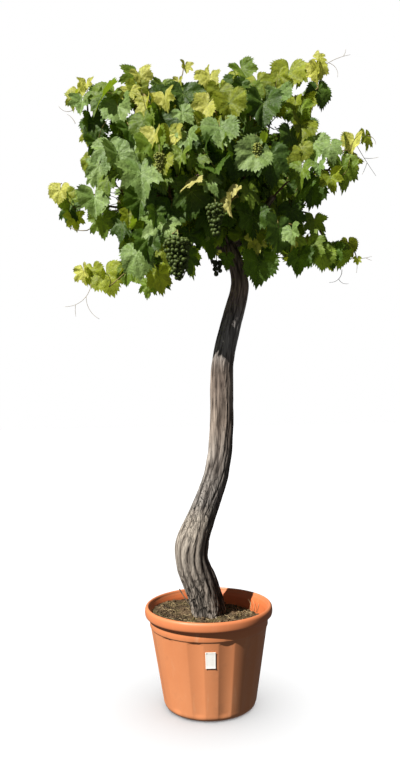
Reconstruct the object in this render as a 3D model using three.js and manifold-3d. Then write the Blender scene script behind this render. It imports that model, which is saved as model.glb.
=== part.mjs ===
// Grapevine trained as a small tree in a round plastic pot. Millimetres, +Z up.
// The origin is the centre of the pot's flat underside. The front, where the label is, faces -Y.
import * as THREE from "three";
import { mergeVertices } from "three/addons/utils/BufferGeometryUtils.js";
import Module from "manifold-3d";

// ---- Driving dimensions ----
const GAP = 0.3; // clearance between touching solids

const POT = {
  height: 370,
  footRadius: 150, // flat part of the underside
  baseRadius: 175, // wall at the top of the rounded base edge
  baseEdge: 24,
  neckRadius: 220, // wall just under the collar
  collarRadius: 222,
  collarBottom: 300,
  rimBottom: 332,
  rimRadius: 240,
  rimWidth: 15,
  rimEdge: 6, // rounding of the rim
  wall: 6,
  floor: 10,
  flutes: 12,
  fluteDepth: 7,
  fluteBottom: 36,
  fluteTop: 290,
  fluteRamp: 12,
  firstFlute: 16.5, // degrees from the front
  facetsPerFlute: 4,
};

// The soil's top is level in the middle and slopes down to the right, by slope mm for each mm.
const SOIL = { level: 328, slope: 0.09 };

const LABEL = { width: 33, height: 60, thickness: 0.8, bottom: 203, angle: 1 };

// Trunk: where its centreline runs, and its radius there, from below the soil to the head.
const TRUNK = {
  sides: 11,
  steps: 21,
  course: [
    { at: [2, 0, 284], radius: 70 },
    { at: [-3, 0, 351], radius: 61 },
    { at: [-21, -6, 428], radius: 63 },
    { at: [-49, -12, 500], radius: 68 },
    { at: [-64, -14, 582], radius: 67 },
    { at: [-39, -6, 652], radius: 57 },
    { at: [-1, 6, 743], radius: 51 },
    { at: [42, 12, 864], radius: 46 },
    { at: [61, 8, 995], radius: 45 },
    { at: [65, 0, 1145], radius: 44 },
    { at: [71, -8, 1285], radius: 42 },
    { at: [96, -5, 1393], radius: 41 },
    { at: [127, 4, 1502], radius: 39 },
    { at: [147, 8, 1585], radius: 36 },
    { at: [133, 4, 1659], radius: 34 },
    { at: [104, 0, 1722], radius: 33 },
    { at: [88, 0, 1771], radius: 27 },
  ],
  rootLobes: 5,
  lobeTurn: 0.6,
  rootFlare: 0.12, // share of the radius that the root lobes stand out at the soil
  flareHeight: 150,
  flattening: 0.035, // share of the radius by which the stem is oval
  twistHeight: 170, // height over which the oval turns by a radian
};

// Boughs: each leaves the head and tapers to where it enters the foliage.
const BOUGH = { sides: 6, steps: 5 };
const BOUGHS = [
  {
    name: "bough_left",
    radii: [25, 15],
    course: [[86, -6, 1747], [13, -20, 1796], [-66, -40, 1841], [-135, -60, 1871]],
  },
  {
    name: "bough_right",
    radii: [24, 14],
    course: [[94, -4, 1747], [171, -20, 1787], [225, -60, 1832], [259, -110, 1892]],
  },
  {
    name: "bough_leader",
    radii: [25, 13],
    course: [[86, 2, 1752], [67, 15, 1858], [82, 5, 1999], [115, -20, 2183]],
  },
  {
    name: "bough_front",
    radii: [21, 13],
    course: [[84, -10, 1742], [65, -80, 1794], [50, -140, 1855]],
  },
  {
    name: "bough_back",
    radii: [23, 13],
    course: [[90, 10, 1746], [85, 100, 1806], [50, 190, 1899], [23, 260, 1993]],
  },
  {
    name: "bough_back_right",
    radii: [20, 13],
    course: [[96, 6, 1737], [169, 80, 1777], [210, 160, 1813]],
  },
  {
    name: "bough_back_left",
    radii: [20, 13],
    course: [[84, 6, 1737], [-7, 70, 1783], [-96, 130, 1834]],
  },
];

// Crown: its centre and half sizes. Foliage masses are placed and sized in shares of these, and
// lean is the angle in degrees by which a mass tips towards +X. slack widens the gap between two
// masses where their faces meet at a slant.
const CROWN = { centre: [50, 10, 2034], half: [628, 510, 478] };
const MASS = { detail: 3, sprayDetail: 2, lumps: 7, lumpHeight: 0.13, slack: 1.6 };
const MASSES = [
  // the front and middle of the crown
  { name: "crown_centre", at: [-0.05, -0.48, -0.14], size: [0.17, 0.33, 0.26] },
  { name: "crown_mid_left", at: [-0.34, -0.4, -0.12], size: [0.17, 0.33, 0.27] },
  { name: "crown_mid_right", at: [0.24, -0.4, -0.11], size: [0.17, 0.33, 0.28] },
  { name: "crown_low_left", at: [-0.4, -0.12, -0.55], size: [0.19, 0.35, 0.31] },
  { name: "crown_low_mid", at: [-0.28, -0.08, -0.77], size: [0.15, 0.26, 0.2], lean: -10 },
  { name: "crown_low_right", at: [0.31, -0.18, -0.66], size: [0.18, 0.33, 0.33] },
  { name: "crown_low_centre", at: [-0.06, -0.26, -0.47], size: [0.17, 0.3, 0.2] },
  { name: "crown_hump_left", at: [-0.4, -0.16, 0.48], size: [0.15, 0.33, 0.26] },
  { name: "crown_top_left", at: [-0.59, -0.08, 0.48], size: [0.15, 0.29, 0.19] },
  { name: "crown_top_centre", at: [-0.11, -0.04, 0.48], size: [0.16, 0.34, 0.26] },
  { name: "crown_top", at: [0.14, -0.06, 0.5], size: [0.16, 0.34, 0.3], lean: 8 },
  { name: "crown_top_right", at: [0.4, 0.02, 0.59], size: [0.16, 0.31, 0.24] },
  { name: "crown_upper_left", at: [-0.63, -0.04, 0.1], size: [0.16, 0.32, 0.25] },
  { name: "crown_left", at: [-0.64, 0.04, -0.28], size: [0.16, 0.32, 0.24] },
  { name: "crown_upper_right", at: [0.56, -0.06, 0.12], size: [0.18, 0.33, 0.28] },
  { name: "crown_right", at: [0.6, 0.02, -0.16], size: [0.17, 0.31, 0.18] },
  { name: "crown_right_low", at: [0.57, 0.1, -0.57], size: [0.16, 0.3, 0.24] },
  // the back of the crown
  { name: "crown_back_left", at: [-0.46, 0.54, 0.34], size: [0.29, 0.36, 0.42] },
  { name: "crown_back", at: [-0.02, 0.6, 0.36], size: [0.26, 0.36, 0.48] },
  { name: "crown_back_right", at: [0.4, 0.54, 0.14], size: [0.28, 0.36, 0.4] },
  { name: "crown_back_low_left", at: [-0.38, 0.48, -0.33], size: [0.28, 0.34, 0.34] },
  { name: "crown_back_low_right", at: [0.16, 0.5, -0.33], size: [0.3, 0.36, 0.34] },
  // sprays that stand out of the crown
  { name: "spray_top_left", at: [-0.8, -0.04, 0.55], size: [0.09, 0.14, 0.18] },
  { name: "spray_left", at: [-0.87, -0.08, -0.31], size: [0.095, 0.16, 0.23], lean: -28 },
  { name: "spray_low_left", at: [-0.67, -0.12, -0.88], size: [0.18, 0.17, 0.15] },
  { name: "spray_top_right", at: [0.65, 0.02, 0.75], size: [0.09, 0.14, 0.25] },
  { name: "spray_right", at: [0.835, -0.08, 0.05], size: [0.115, 0.18, 0.24], lean: 28 },
  { name: "spray_low_right", at: [0.78, 0.06, -0.66], size: [0.14, 0.18, 0.15] },
];

// ---- Materials ----
function finish(color, roughness) {
  return new THREE.MeshStandardMaterial({ color, roughness, metalness: 0 });
}
const PLASTIC = finish(0xdd8a5c, 0.55);
const EARTH = finish(0x6b5a48, 0.95);
const PAPER = finish(0xf2f2ee, 0.6);
const BARK = finish(0x8d8276, 0.9);
const LEAVES = finish(0x4e7a3a, 0.6);

// ---- Solids ----
const wasm = await Module();
wasm.setup();

function solidFrom(geometry) {
  const bare = geometry.clone();
  bare.deleteAttribute("normal");
  bare.deleteAttribute("uv");
  const merged = mergeVertices(bare, 1e-3);
  const triVerts = new Uint32Array(merged.index.array);
  const vertProperties = merged.attributes.position.array;
  return new wasm.Manifold(new wasm.Mesh({ numProp: 3, vertProperties, triVerts }));
}

function geometryFrom(solid) {
  const mesh = solid.getMesh();
  const geometry = new THREE.BufferGeometry();
  geometry.setAttribute("position", new THREE.BufferAttribute(mesh.vertProperties, 3));
  geometry.setIndex(new THREE.BufferAttribute(mesh.triVerts, 1));
  geometry.computeVertexNormals();
  return geometry;
}

// A cut can leave loose crumbs: only the largest body stays.
function largestBody(solid) {
  const bodies = solid.decompose();
  return bodies.reduce((best, body) => (body.volume() > best.volume() ? body : best));
}

function movePoints(geometry, move) {
  const position = geometry.attributes.position;
  const point = new THREE.Vector3();
  for (let i = 0; i < position.count; i++) {
    point.fromBufferAttribute(position, i);
    move(point);
    position.setXYZ(i, point.x, point.y, point.z);
  }
  return geometry;
}

const plant = new THREE.Group();
const solids = new Map();

function add(name, solid, material) {
  const mesh = new THREE.Mesh(geometryFrom(solid), material);
  mesh.name = name;
  plant.add(mesh);
  solids.set(name, solid);
}

// ---- Pot ----
const POT_FACETS = POT.flutes * POT.facetsPerFlute;
const FACET = 360 / POT_FACETS;

// Outer radius of the plain wall at height z, and of the smooth inner wall behind the flutes.
function wallRadius(z) {
  const share = (z - POT.baseEdge) / (POT.collarBottom - POT.baseEdge);
  return THREE.MathUtils.lerp(POT.baseRadius, POT.neckRadius, share);
}
function innerRadius(z) {
  return wallRadius(z) - POT.wall - POT.fluteDepth;
}

// A profile of [radius, height] pairs turned about the Z axis. The first facet starts so that
// each flute is centred on a facet.
function turned(profile) {
  const points = profile.map(([radius, height]) => new THREE.Vector2(radius, height));
  const start = THREE.MathUtils.degToRad(POT.firstFlute - FACET / 2);
  return new THREE.LatheGeometry(points, POT_FACETS, start).rotateX(Math.PI / 2);
}

function potProfile() {
  const { height, rimRadius, rimWidth, rimEdge: edge, rimBottom, baseEdge, fluteRamp } = POT;
  const profile = [[0, 0], [POT.footRadius, 0]];
  profile.push([POT.footRadius + baseEdge * 0.7, baseEdge * 0.3], [POT.baseRadius, baseEdge]);
  for (const z of [POT.fluteBottom, POT.fluteBottom + fluteRamp]) profile.push([wallRadius(z), z]);
  for (const z of [POT.fluteTop - fluteRamp, POT.fluteTop]) profile.push([wallRadius(z), z]);
  profile.push([POT.collarRadius, POT.collarBottom], [POT.collarRadius, rimBottom]);
  profile.push([rimRadius - edge, rimBottom], [rimRadius, rimBottom + edge]);
  profile.push([rimRadius, height - edge], [rimRadius - edge, height]);
  profile.push([rimRadius - rimWidth + edge, height], [rimRadius - rimWidth, height - edge]);
  profile.push([innerRadius(rimBottom), rimBottom - edge], [innerRadius(POT.floor), POT.floor]);
  profile.push([0, POT.floor]);
  return profile;
}

// Presses the flutes into the outer wall of the turned pot.
function pressFlutes(geometry) {
  return movePoints(geometry, (point) => {
    const radius = Math.hypot(point.x, point.y);
    const onWall = radius > innerRadius(point.z) + POT.fluteDepth / 2;
    const low = POT.fluteBottom + POT.fluteRamp / 2;
    const high = POT.fluteTop - POT.fluteRamp / 2;
    if (!onWall || point.z < low || point.z > high) return;
    const angle = THREE.MathUtils.radToDeg(Math.atan2(point.x, -point.y));
    const pitch = 360 / POT.flutes;
    const turn = THREE.MathUtils.euclideanModulo(angle - POT.firstFlute + pitch / 2, pitch);
    if (Math.abs(turn - pitch / 2) > FACET) return;
    const share = (radius - POT.fluteDepth) / radius;
    point.x *= share;
    point.y *= share;
  });
}

add("pot", solidFrom(pressFlutes(turned(potProfile()))), PLASTIC);

// ---- Soil ----
function soilProfile() {
  const floor = POT.floor + GAP;
  return [
    [0, floor],
    [innerRadius(floor) - GAP, floor],
    [innerRadius(SOIL.level) - GAP, SOIL.level],
    [0, SOIL.level],
  ];
}

// Slopes the soil's top, and keeps its edge against the wall.
function slopeTop(geometry) {
  return movePoints(geometry, (point) => {
    const radius = Math.hypot(point.x, point.y);
    if (point.z < SOIL.level / 2 || radius < 1) return;
    const across = point.x / radius;
    let reach = radius;
    for (let turn = 0; turn < 6; turn++) {
      point.z = SOIL.level - SOIL.slope * across * reach;
      reach = innerRadius(point.z) - GAP;
    }
    point.x *= reach / radius;
    point.y *= reach / radius;
  });
}
add("soil", solidFrom(slopeTop(turned(soilProfile()))), EARTH);

// ---- Label ----
// A thin curved plate that leans with the wall.
function labelGeometry() {
  const half = LABEL.width / 2 / wallRadius(LABEL.bottom);
  const front = -Math.PI / 2 + THREE.MathUtils.degToRad(LABEL.angle);
  const inner = wallRadius(LABEL.bottom) + GAP;
  const outline = new THREE.Shape();
  outline.absarc(0, 0, inner + LABEL.thickness, front - half, front + half, false);
  outline.absarc(0, 0, inner, front + half, front - half, true);
  const plate = new THREE.ExtrudeGeometry(outline, {
    depth: LABEL.height,
    bevelEnabled: false,
    curveSegments: 3,
  });
  return movePoints(plate, (point) => {
    const lean = wallRadius(LABEL.bottom + point.z) - wallRadius(LABEL.bottom);
    const share = 1 + lean / Math.hypot(point.x, point.y);
    point.set(point.x * share, point.y * share, LABEL.bottom + point.z);
  });
}
add("label", solidFrom(labelGeometry()), PAPER);

// ---- Limbs ----
// A closed tapering limb along a curve. shape(turn, z) gives a share by which the section
// departs from round, and grow thickens the whole limb evenly.
function limb({ points, radii, sides, steps, grow = 0, shape = () => 0 }) {
  const path = new THREE.CatmullRomCurve3(points.map((p) => new THREE.Vector3(...p)));
  const size = new THREE.CatmullRomCurve3(radii.map((r, i) => new THREE.Vector3(r, i, 0)));
  const frames = path.computeFrenetFrames(steps, false);
  const geometry = new THREE.CylinderGeometry(1, 1, 1, sides, steps);
  movePoints(geometry, (point) => {
    const step = Math.round((point.y + 0.5) * steps);
    const centre = path.getPoint(step / steps);
    const end = step === 0 ? -grow : step === steps ? grow : 0;
    centre.addScaledVector(frames.tangents[step], end);
    const turn = Math.atan2(point.x, point.z);
    const reach = Math.hypot(point.x, point.z);
    const radius = size.getPoint(step / steps).x * (1 + shape(turn, centre.z)) + grow;
    centre.addScaledVector(frames.normals[step], Math.sin(turn) * radius * reach);
    centre.addScaledVector(frames.binormals[step], Math.cos(turn) * radius * reach);
    point.copy(centre);
  });
  return facingOut(solidFrom(geometry), geometry);
}

function facingOut(solid, geometry) {
  if (solid.volume() > 0) return solid;
  const index = geometry.index.array;
  for (let i = 0; i < index.length; i += 3) [index[i], index[i + 1]] = [index[i + 1], index[i]];
  return solidFrom(geometry);
}

// ---- Trunk ----
function trunkShape(turn, z) {
  const height = Math.max(0, z - SOIL.level);
  const flare = TRUNK.rootFlare * Math.exp(-height / TRUNK.flareHeight);
  const lobes = 0.5 + Math.cos(TRUNK.rootLobes * turn + TRUNK.lobeTurn);
  return flare * lobes + TRUNK.flattening * Math.cos(2 * turn + z / TRUNK.twistHeight);
}

function trunkSolid(grow) {
  const whole = limb({
    points: TRUNK.course.map((stop) => stop.at),
    radii: TRUNK.course.map((stop) => stop.radius),
    sides: TRUNK.sides,
    steps: TRUNK.steps,
    shape: trunkShape,
    grow,
  });
  const below = new THREE.BoxGeometry(400, 400, 200).translate(0, 0, -100);
  below.rotateY(Math.atan(SOIL.slope)).translate(0, 0, SOIL.level + GAP);
  return whole.subtract(solidFrom(below));
}
add("trunk", trunkSolid(0), BARK);

// ---- Boughs ----
// taken holds every limb so far, thickened by the gap, so that the next piece is cut clear of it.
let taken = trunkSolid(GAP);

for (const bough of BOUGHS) {
  const from = { points: bough.course, radii: bough.radii, ...BOUGH };
  add(bough.name, largestBody(limb(from).subtract(taken)), BARK);
  taken = taken.add(limb({ ...from, grow: GAP }));
}

// ---- Foliage masses ----
const AXIS_Y = new THREE.Vector3(0, 1, 0);

// A repeatable number from 0 to 1 for each seed.
function chance(seed) {
  const wave = Math.sin(seed * 127.1 + 311.7) * 43758.5453;
  return wave - Math.floor(wave);
}

// An uneven closed ball: waves in several directions make its lumps and hollows.
function massSolid(mass, seed, grow) {
  const centre = mass.at.map((share, k) => CROWN.centre[k] + share * CROWN.half[k]);
  const half = mass.size.map((share, k) => share * CROWN.half[k]);
  const lean = THREE.MathUtils.degToRad(mass.lean ?? 0);
  const waves = [];
  for (let k = 0; k < MASS.lumps; k++) {
    const draw = (n) => chance(seed * 31 + k * 7 + n);
    const way = new THREE.Vector3(draw(1) - 0.5, draw(2) - 0.5, draw(3) - 0.5).normalize();
    waves.push({ way: way.multiplyScalar(2 + 3 * draw(4)), phase: 2 * Math.PI * draw(5) });
  }
  const detail = mass.name.startsWith("spray") ? MASS.sprayDetail : MASS.detail;
  const geometry = new THREE.OctahedronGeometry(1, detail);
  movePoints(geometry, (point) => {
    let lump = 0;
    for (const { way, phase } of waves) lump += Math.cos(way.dot(point) + phase);
    const reach = 1 + (MASS.lumpHeight * lump) / Math.sqrt(MASS.lumps / 2);
    const out = point.clone().multiplyScalar(grow);
    point.multiplyScalar(reach);
    point.set(point.x * half[0], point.y * half[1], point.z * half[2]).add(out);
    point.applyAxisAngle(AXIS_Y, lean).add(new THREE.Vector3(...centre));
  });
  return solidFrom(geometry);
}

MASSES.forEach((mass, seed) => {
  add(mass.name, largestBody(massSolid(mass, seed, 0).subtract(taken)), LEAVES);
  taken = taken.add(massSolid(mass, seed, GAP * MASS.slack));
});

export default plant;
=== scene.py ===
import math

import bmesh
import bpy
import numpy as np
from mathutils import Matrix, Vector, noise
from mathutils.bvhtree import BVHTree


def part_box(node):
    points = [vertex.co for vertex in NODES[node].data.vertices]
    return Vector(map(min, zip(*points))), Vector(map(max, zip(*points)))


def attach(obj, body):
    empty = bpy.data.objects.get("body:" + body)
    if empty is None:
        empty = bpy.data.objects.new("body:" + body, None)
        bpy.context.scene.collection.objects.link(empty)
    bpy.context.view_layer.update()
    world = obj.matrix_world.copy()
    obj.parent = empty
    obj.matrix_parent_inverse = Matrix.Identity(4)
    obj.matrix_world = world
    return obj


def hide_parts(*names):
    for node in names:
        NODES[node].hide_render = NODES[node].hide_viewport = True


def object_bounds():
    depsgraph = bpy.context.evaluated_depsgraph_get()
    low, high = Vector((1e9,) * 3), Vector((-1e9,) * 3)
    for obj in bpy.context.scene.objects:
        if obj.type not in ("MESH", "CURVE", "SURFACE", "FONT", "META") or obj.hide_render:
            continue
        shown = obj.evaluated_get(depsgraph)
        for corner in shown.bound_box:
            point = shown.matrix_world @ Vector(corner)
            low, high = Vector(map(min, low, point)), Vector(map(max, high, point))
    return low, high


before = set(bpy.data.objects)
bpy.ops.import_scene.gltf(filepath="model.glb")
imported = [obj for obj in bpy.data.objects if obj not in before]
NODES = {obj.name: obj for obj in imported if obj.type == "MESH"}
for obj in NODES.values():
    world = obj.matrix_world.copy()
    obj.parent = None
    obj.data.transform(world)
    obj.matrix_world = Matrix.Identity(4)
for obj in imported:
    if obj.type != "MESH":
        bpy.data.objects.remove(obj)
cad_low, cad_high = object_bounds()
UP = np.array([0.0, 0.0, 1.0])

# ---- Camera ----
IMAGE_HEIGHT = 765
FOCAL_PIXELS = 690.0
SENSOR = 36.0
CAMERA = {"at": (0.0, -2.64, 1.13), "rise": 1.71, "turn": 0.352, "roll": -1.1}

scene = bpy.context.scene
camera = bpy.data.objects.new("camera", bpy.data.cameras.new("camera"))
camera.data.sensor_width = SENSOR
camera.data.lens = SENSOR * FOCAL_PIXELS / IMAGE_HEIGHT
camera.data.clip_end = 200
turn = Matrix.Rotation(math.radians(CAMERA["turn"]), 4, "Z")
rise = Matrix.Rotation(math.radians(90 + CAMERA["rise"]), 4, "X")
roll = Matrix.Rotation(math.radians(CAMERA["roll"]), 4, "Z")
camera.matrix_world = Matrix.Translation(CAMERA["at"]) @ turn @ rise @ roll
scene.collection.objects.link(camera)
scene.camera = camera
scene.view_settings.view_transform = "Standard"


# ---- Small helpers ----
def unit(vector):
    return vector / max(float(np.linalg.norm(vector)), 1e-9)


def smoothstep(value, low, high):
    share = np.clip((value - low) / (high - low), 0, 1)
    return share * share * (3 - 2 * share)


def linear(red, green, blue):
    """A display colour of 0 to 255 as the linear one that shaders take."""
    shares = [c / 255 for c in (red, green, blue)]
    return tuple(c / 12.92 if c <= 0.04045 else ((c + 0.055) / 1.055) ** 2.4 for c in shares)


def node_points(name):
    mesh = NODES[name].data
    points = np.empty(len(mesh.vertices) * 3, np.float32)
    mesh.vertices.foreach_get("co", points)
    return points.reshape(-1, 3).astype(float)


def node_tree(name):
    """The node's surface as a tree that rays and nearest points can ask."""
    mesh = NODES[name].data
    return BVHTree.FromPolygons(
        [v.co[:] for v in mesh.vertices], [tuple(p.vertices) for p in mesh.polygons]
    )


def curve_through(points, count):
    """Evenly spread points on a smooth curve through a few points (Catmull-Rom)."""
    points = np.asarray(points, float)
    padded = np.vstack([2 * points[0] - points[1], points, 2 * points[-1] - points[-2]])
    spans = len(points) - 1
    places = np.linspace(0, spans, count)
    index = np.minimum(places.astype(int), spans - 1)
    t = (places - index)[:, None]
    a, b, c, d = (padded[index + k] for k in range(4))
    return 0.5 * (
        2 * b + (c - a) * t + (2 * a - 5 * b + 4 * c - d) * t**2 + (3 * b - a - 3 * c + d) * t**3
    )


class Heap:
    """Gathers many small shapes into one mesh."""

    def __init__(self):
        self.points = []
        self.faces = []
        self.count = 0

    def add(self, points, *blocks):
        self.faces += [np.asarray(block) + self.count for block in blocks]
        self.points.append(np.asarray(points, float))
        self.count += len(points)

    def piece(self, name, material, slot, replaced=(), smooth=True):
        mesh = bpy.data.meshes.new(name)
        points = np.vstack(self.points).astype(np.float32)
        loops = np.concatenate([block.ravel() for block in self.faces]).astype(np.int32)
        sides = np.concatenate([np.full(len(b), b.shape[1]) for b in self.faces])
        starts = np.concatenate([[0], np.cumsum(sides)[:-1]]).astype(np.int32)
        mesh.vertices.add(len(points))
        mesh.vertices.foreach_set("co", points.ravel())
        mesh.loops.add(len(loops))
        mesh.loops.foreach_set("vertex_index", loops)
        mesh.polygons.add(len(sides))
        mesh.polygons.foreach_set("loop_start", starts)
        mesh.polygons.foreach_set("use_smooth", np.full(len(sides), smooth))
        mesh.update(calc_edges=True)
        mesh.validate()
        mesh.materials.append(material)
        made = bpy.data.objects.new(name, mesh)
        scene.collection.objects.link(made)
        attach(made, "root")
        if replaced:
            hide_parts(*replaced)
        return made


def grid_faces(rows, columns, closed=True):
    """Quads of a grid of points, each row joined up round when closed."""
    last = columns if closed else columns - 1
    row, column = np.meshgrid(np.arange(rows - 1), np.arange(last), indexing="ij")
    after = (column + 1) % columns
    near, far = row * columns, (row + 1) * columns
    quads = np.stack([near + column, near + after, far + after, far + column], -1)
    return quads.reshape(-1, 4)


def tube(points, radii, sides):
    """Points, quads and end triangles of a round tube along a line of points."""
    points = np.asarray(points, float)
    tangents = np.gradient(points, axis=0)
    side = unit(np.cross(tangents[0], UP if abs(unit(tangents[0])[2]) < 0.9 else [1.0, 0, 0]))
    angles = np.arange(sides) * 2 * math.pi / sides
    rings = []
    for point, tangent, radius in zip(points, tangents, radii):
        tangent = unit(tangent)
        side = unit(side - tangent * side.dot(tangent))
        other = np.cross(tangent, side)
        round_it = np.outer(np.cos(angles), side) + np.outer(np.sin(angles), other)
        rings.append(point + radius * round_it)
    made = np.vstack(rings + [points[:1], points[-1:]])
    quads = grid_faces(len(points), sides)
    ring = np.arange(sides)
    after = (ring + 1) % sides
    end = (len(points) - 1) * sides
    first, last = len(made) - 2, len(made) - 1
    caps = np.vstack([
        np.stack([after, ring, np.full(sides, first)], -1),
        np.stack([ring + end, after + end, np.full(sides, last)], -1),
    ])
    return made, quads, caps


# ---- Materials ----
class Shader:
    """A Principled material whose procedural nodes are added by name."""

    def __init__(self, name, roughness, specular=0.5):
        self.material = bpy.data.materials.new(name)
        self.material.use_nodes = True
        self.nodes = self.material.node_tree.nodes
        self.links = self.material.node_tree.links
        self.base = self.nodes["Principled BSDF"]
        self.base.inputs["Roughness"].default_value = roughness
        self.base.inputs["Specular IOR Level"].default_value = specular
        self.place = self.nodes.new("ShaderNodeTexCoord").outputs["Object"]

    def noise(self, scale, stretch=(1, 1, 1), detail=4.0, rough=0.55):
        mapping = self.nodes.new("ShaderNodeMapping")
        mapping.inputs["Scale"].default_value = [scale * s for s in stretch]
        self.links.new(self.place, mapping.inputs["Vector"])
        texture = self.nodes.new("ShaderNodeTexNoise")
        texture.inputs["Scale"].default_value = 1.0
        texture.inputs["Detail"].default_value = detail
        texture.inputs["Roughness"].default_value = rough
        self.links.new(mapping.outputs["Vector"], texture.inputs["Vector"])
        return texture.outputs["Fac"]

    def ramp(self, value, *stops):
        ramp = self.nodes.new("ShaderNodeValToRGB")
        elements = ramp.color_ramp.elements
        while len(elements) < len(stops):
            elements.new(0.5)
        for element, (place, colour) in zip(elements, stops):
            element.position = place
            element.color = (*colour, 1)
        self.links.new(value, ramp.inputs["Fac"])
        return ramp.outputs["Color"]

    def mix(self, share, first, second, blend="MIX"):
        node = self.nodes.new("ShaderNodeMix")
        node.data_type = "RGBA"
        node.blend_type = blend
        for socket, value in ((node.inputs[0], share), (node.inputs[6], first), (node.inputs[7], second)):
            if isinstance(value, bpy.types.NodeSocket):
                self.links.new(value, socket)
            else:
                socket.default_value = value if isinstance(value, float) else (*value, 1)
        return node.outputs[2]

    def grey(self, value, low, high, dark=0.0, light=1.0):
        return self.ramp(value, (low, (dark,) * 3), (high, (light,) * 3))

    def cracks(self, value, width, dark):
        """Thin dark lines where the noise passes its middle."""
        return self.ramp(value, (0.5 - width, (1,) * 3), (0.5, (dark,) * 3), (0.5 + width, (1,) * 3))

    def height(self):
        parts = self.nodes.new("ShaderNodeSeparateXYZ")
        self.links.new(self.place, parts.inputs["Vector"])
        return parts.outputs["Z"]

    def along(self, axis, low, high):
        """0 to 1 between two places on an axis."""
        parts = self.nodes.new("ShaderNodeSeparateXYZ")
        self.links.new(self.place, parts.inputs["Vector"])
        return self.spread(parts.outputs[axis], low, high)

    def radius(self, low, high):
        """0 to 1 between two distances from the upright axis."""
        flat = self.nodes.new("ShaderNodeVectorMath")
        flat.operation = "MULTIPLY"
        flat.inputs[1].default_value = (1, 1, 0)
        self.links.new(self.place, flat.inputs[0])
        length = self.nodes.new("ShaderNodeVectorMath")
        length.operation = "LENGTH"
        self.links.new(flat.outputs[0], length.inputs[0])
        return self.spread(length.outputs["Value"], low, high)

    def spread(self, value, low, high):
        node = self.nodes.new("ShaderNodeMapRange")
        node.inputs["From Min"].default_value = low
        node.inputs["From Max"].default_value = high
        self.links.new(value, node.inputs["Value"])
        return node.outputs["Result"]

    def attribute(self, name):
        node = self.nodes.new("ShaderNodeAttribute")
        node.attribute_name = name
        return node.outputs["Fac"]

    def colour(self, value):
        self.links.new(value, self.base.inputs["Base Color"])
        return self

    def rough(self, value):
        self.links.new(value, self.base.inputs["Roughness"])
        return self

    def bump(self, height, distance, strength=1.0):
        node = self.nodes.new("ShaderNodeBump")
        node.inputs["Distance"].default_value = distance
        node.inputs["Strength"].default_value = strength
        self.links.new(height, node.inputs["Height"])
        previous = self.base.inputs["Normal"].links
        if previous:
            self.links.new(previous[0].from_socket, node.inputs["Normal"])
        self.links.new(node.outputs["Normal"], self.base.inputs["Normal"])
        return self

    def see_through(self, share, colour):
        """Lets light through the leaf: mixes in a translucent shader."""
        glow = self.nodes.new("ShaderNodeBsdfTranslucent")
        mix = self.nodes.new("ShaderNodeMixShader")
        mix.inputs["Fac"].default_value = share
        self.links.new(colour, glow.inputs["Color"])
        self.links.new(self.base.outputs["BSDF"], mix.inputs[1])
        self.links.new(glow.outputs["BSDF"], mix.inputs[2])
        self.links.new(mix.outputs["Shader"], self.nodes["Material Output"].inputs["Surface"])
        return self


def leaf_shader(name, shades, through, share, roughness=0.52):
    """A leaf: two shades that drift over a hand's width, and fine mottling."""
    dark, light = (linear(*shade) for shade in shades)
    shader = Shader(name, roughness, 0.3)
    drift = shader.ramp(shader.noise(9, detail=3.0), (0.32, dark), (0.68, light))
    specks = shader.grey(shader.noise(110, detail=4.0, rough=0.65), 0.3, 0.7, 0.60, 1.30)
    surface = shader.mix(1.0, drift, specks, "MULTIPLY")
    shader.colour(surface)
    shader.rough(shader.grey(shader.noise(60), 0.3, 0.7, roughness - 0.08, roughness + 0.1))
    shader.bump(shader.noise(34, detail=2.0), 0.010, 0.5)
    shader.bump(shader.noise(95, detail=3.0), 0.0045, 0.8)
    glow = shader.mix(0.55, surface, linear(*through))
    return shader.see_through(share, glow).material


def twig_shader(name, dark, light, roughness=0.6):
    shader = Shader(name, roughness, 0.35)
    streaks = shader.noise(150, (1, 1, 0.3))
    shader.colour(shader.ramp(streaks, (0.3, linear(*dark)), (0.7, linear(*light))))
    return shader.bump(streaks, 0.001, 0.6).material


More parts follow.
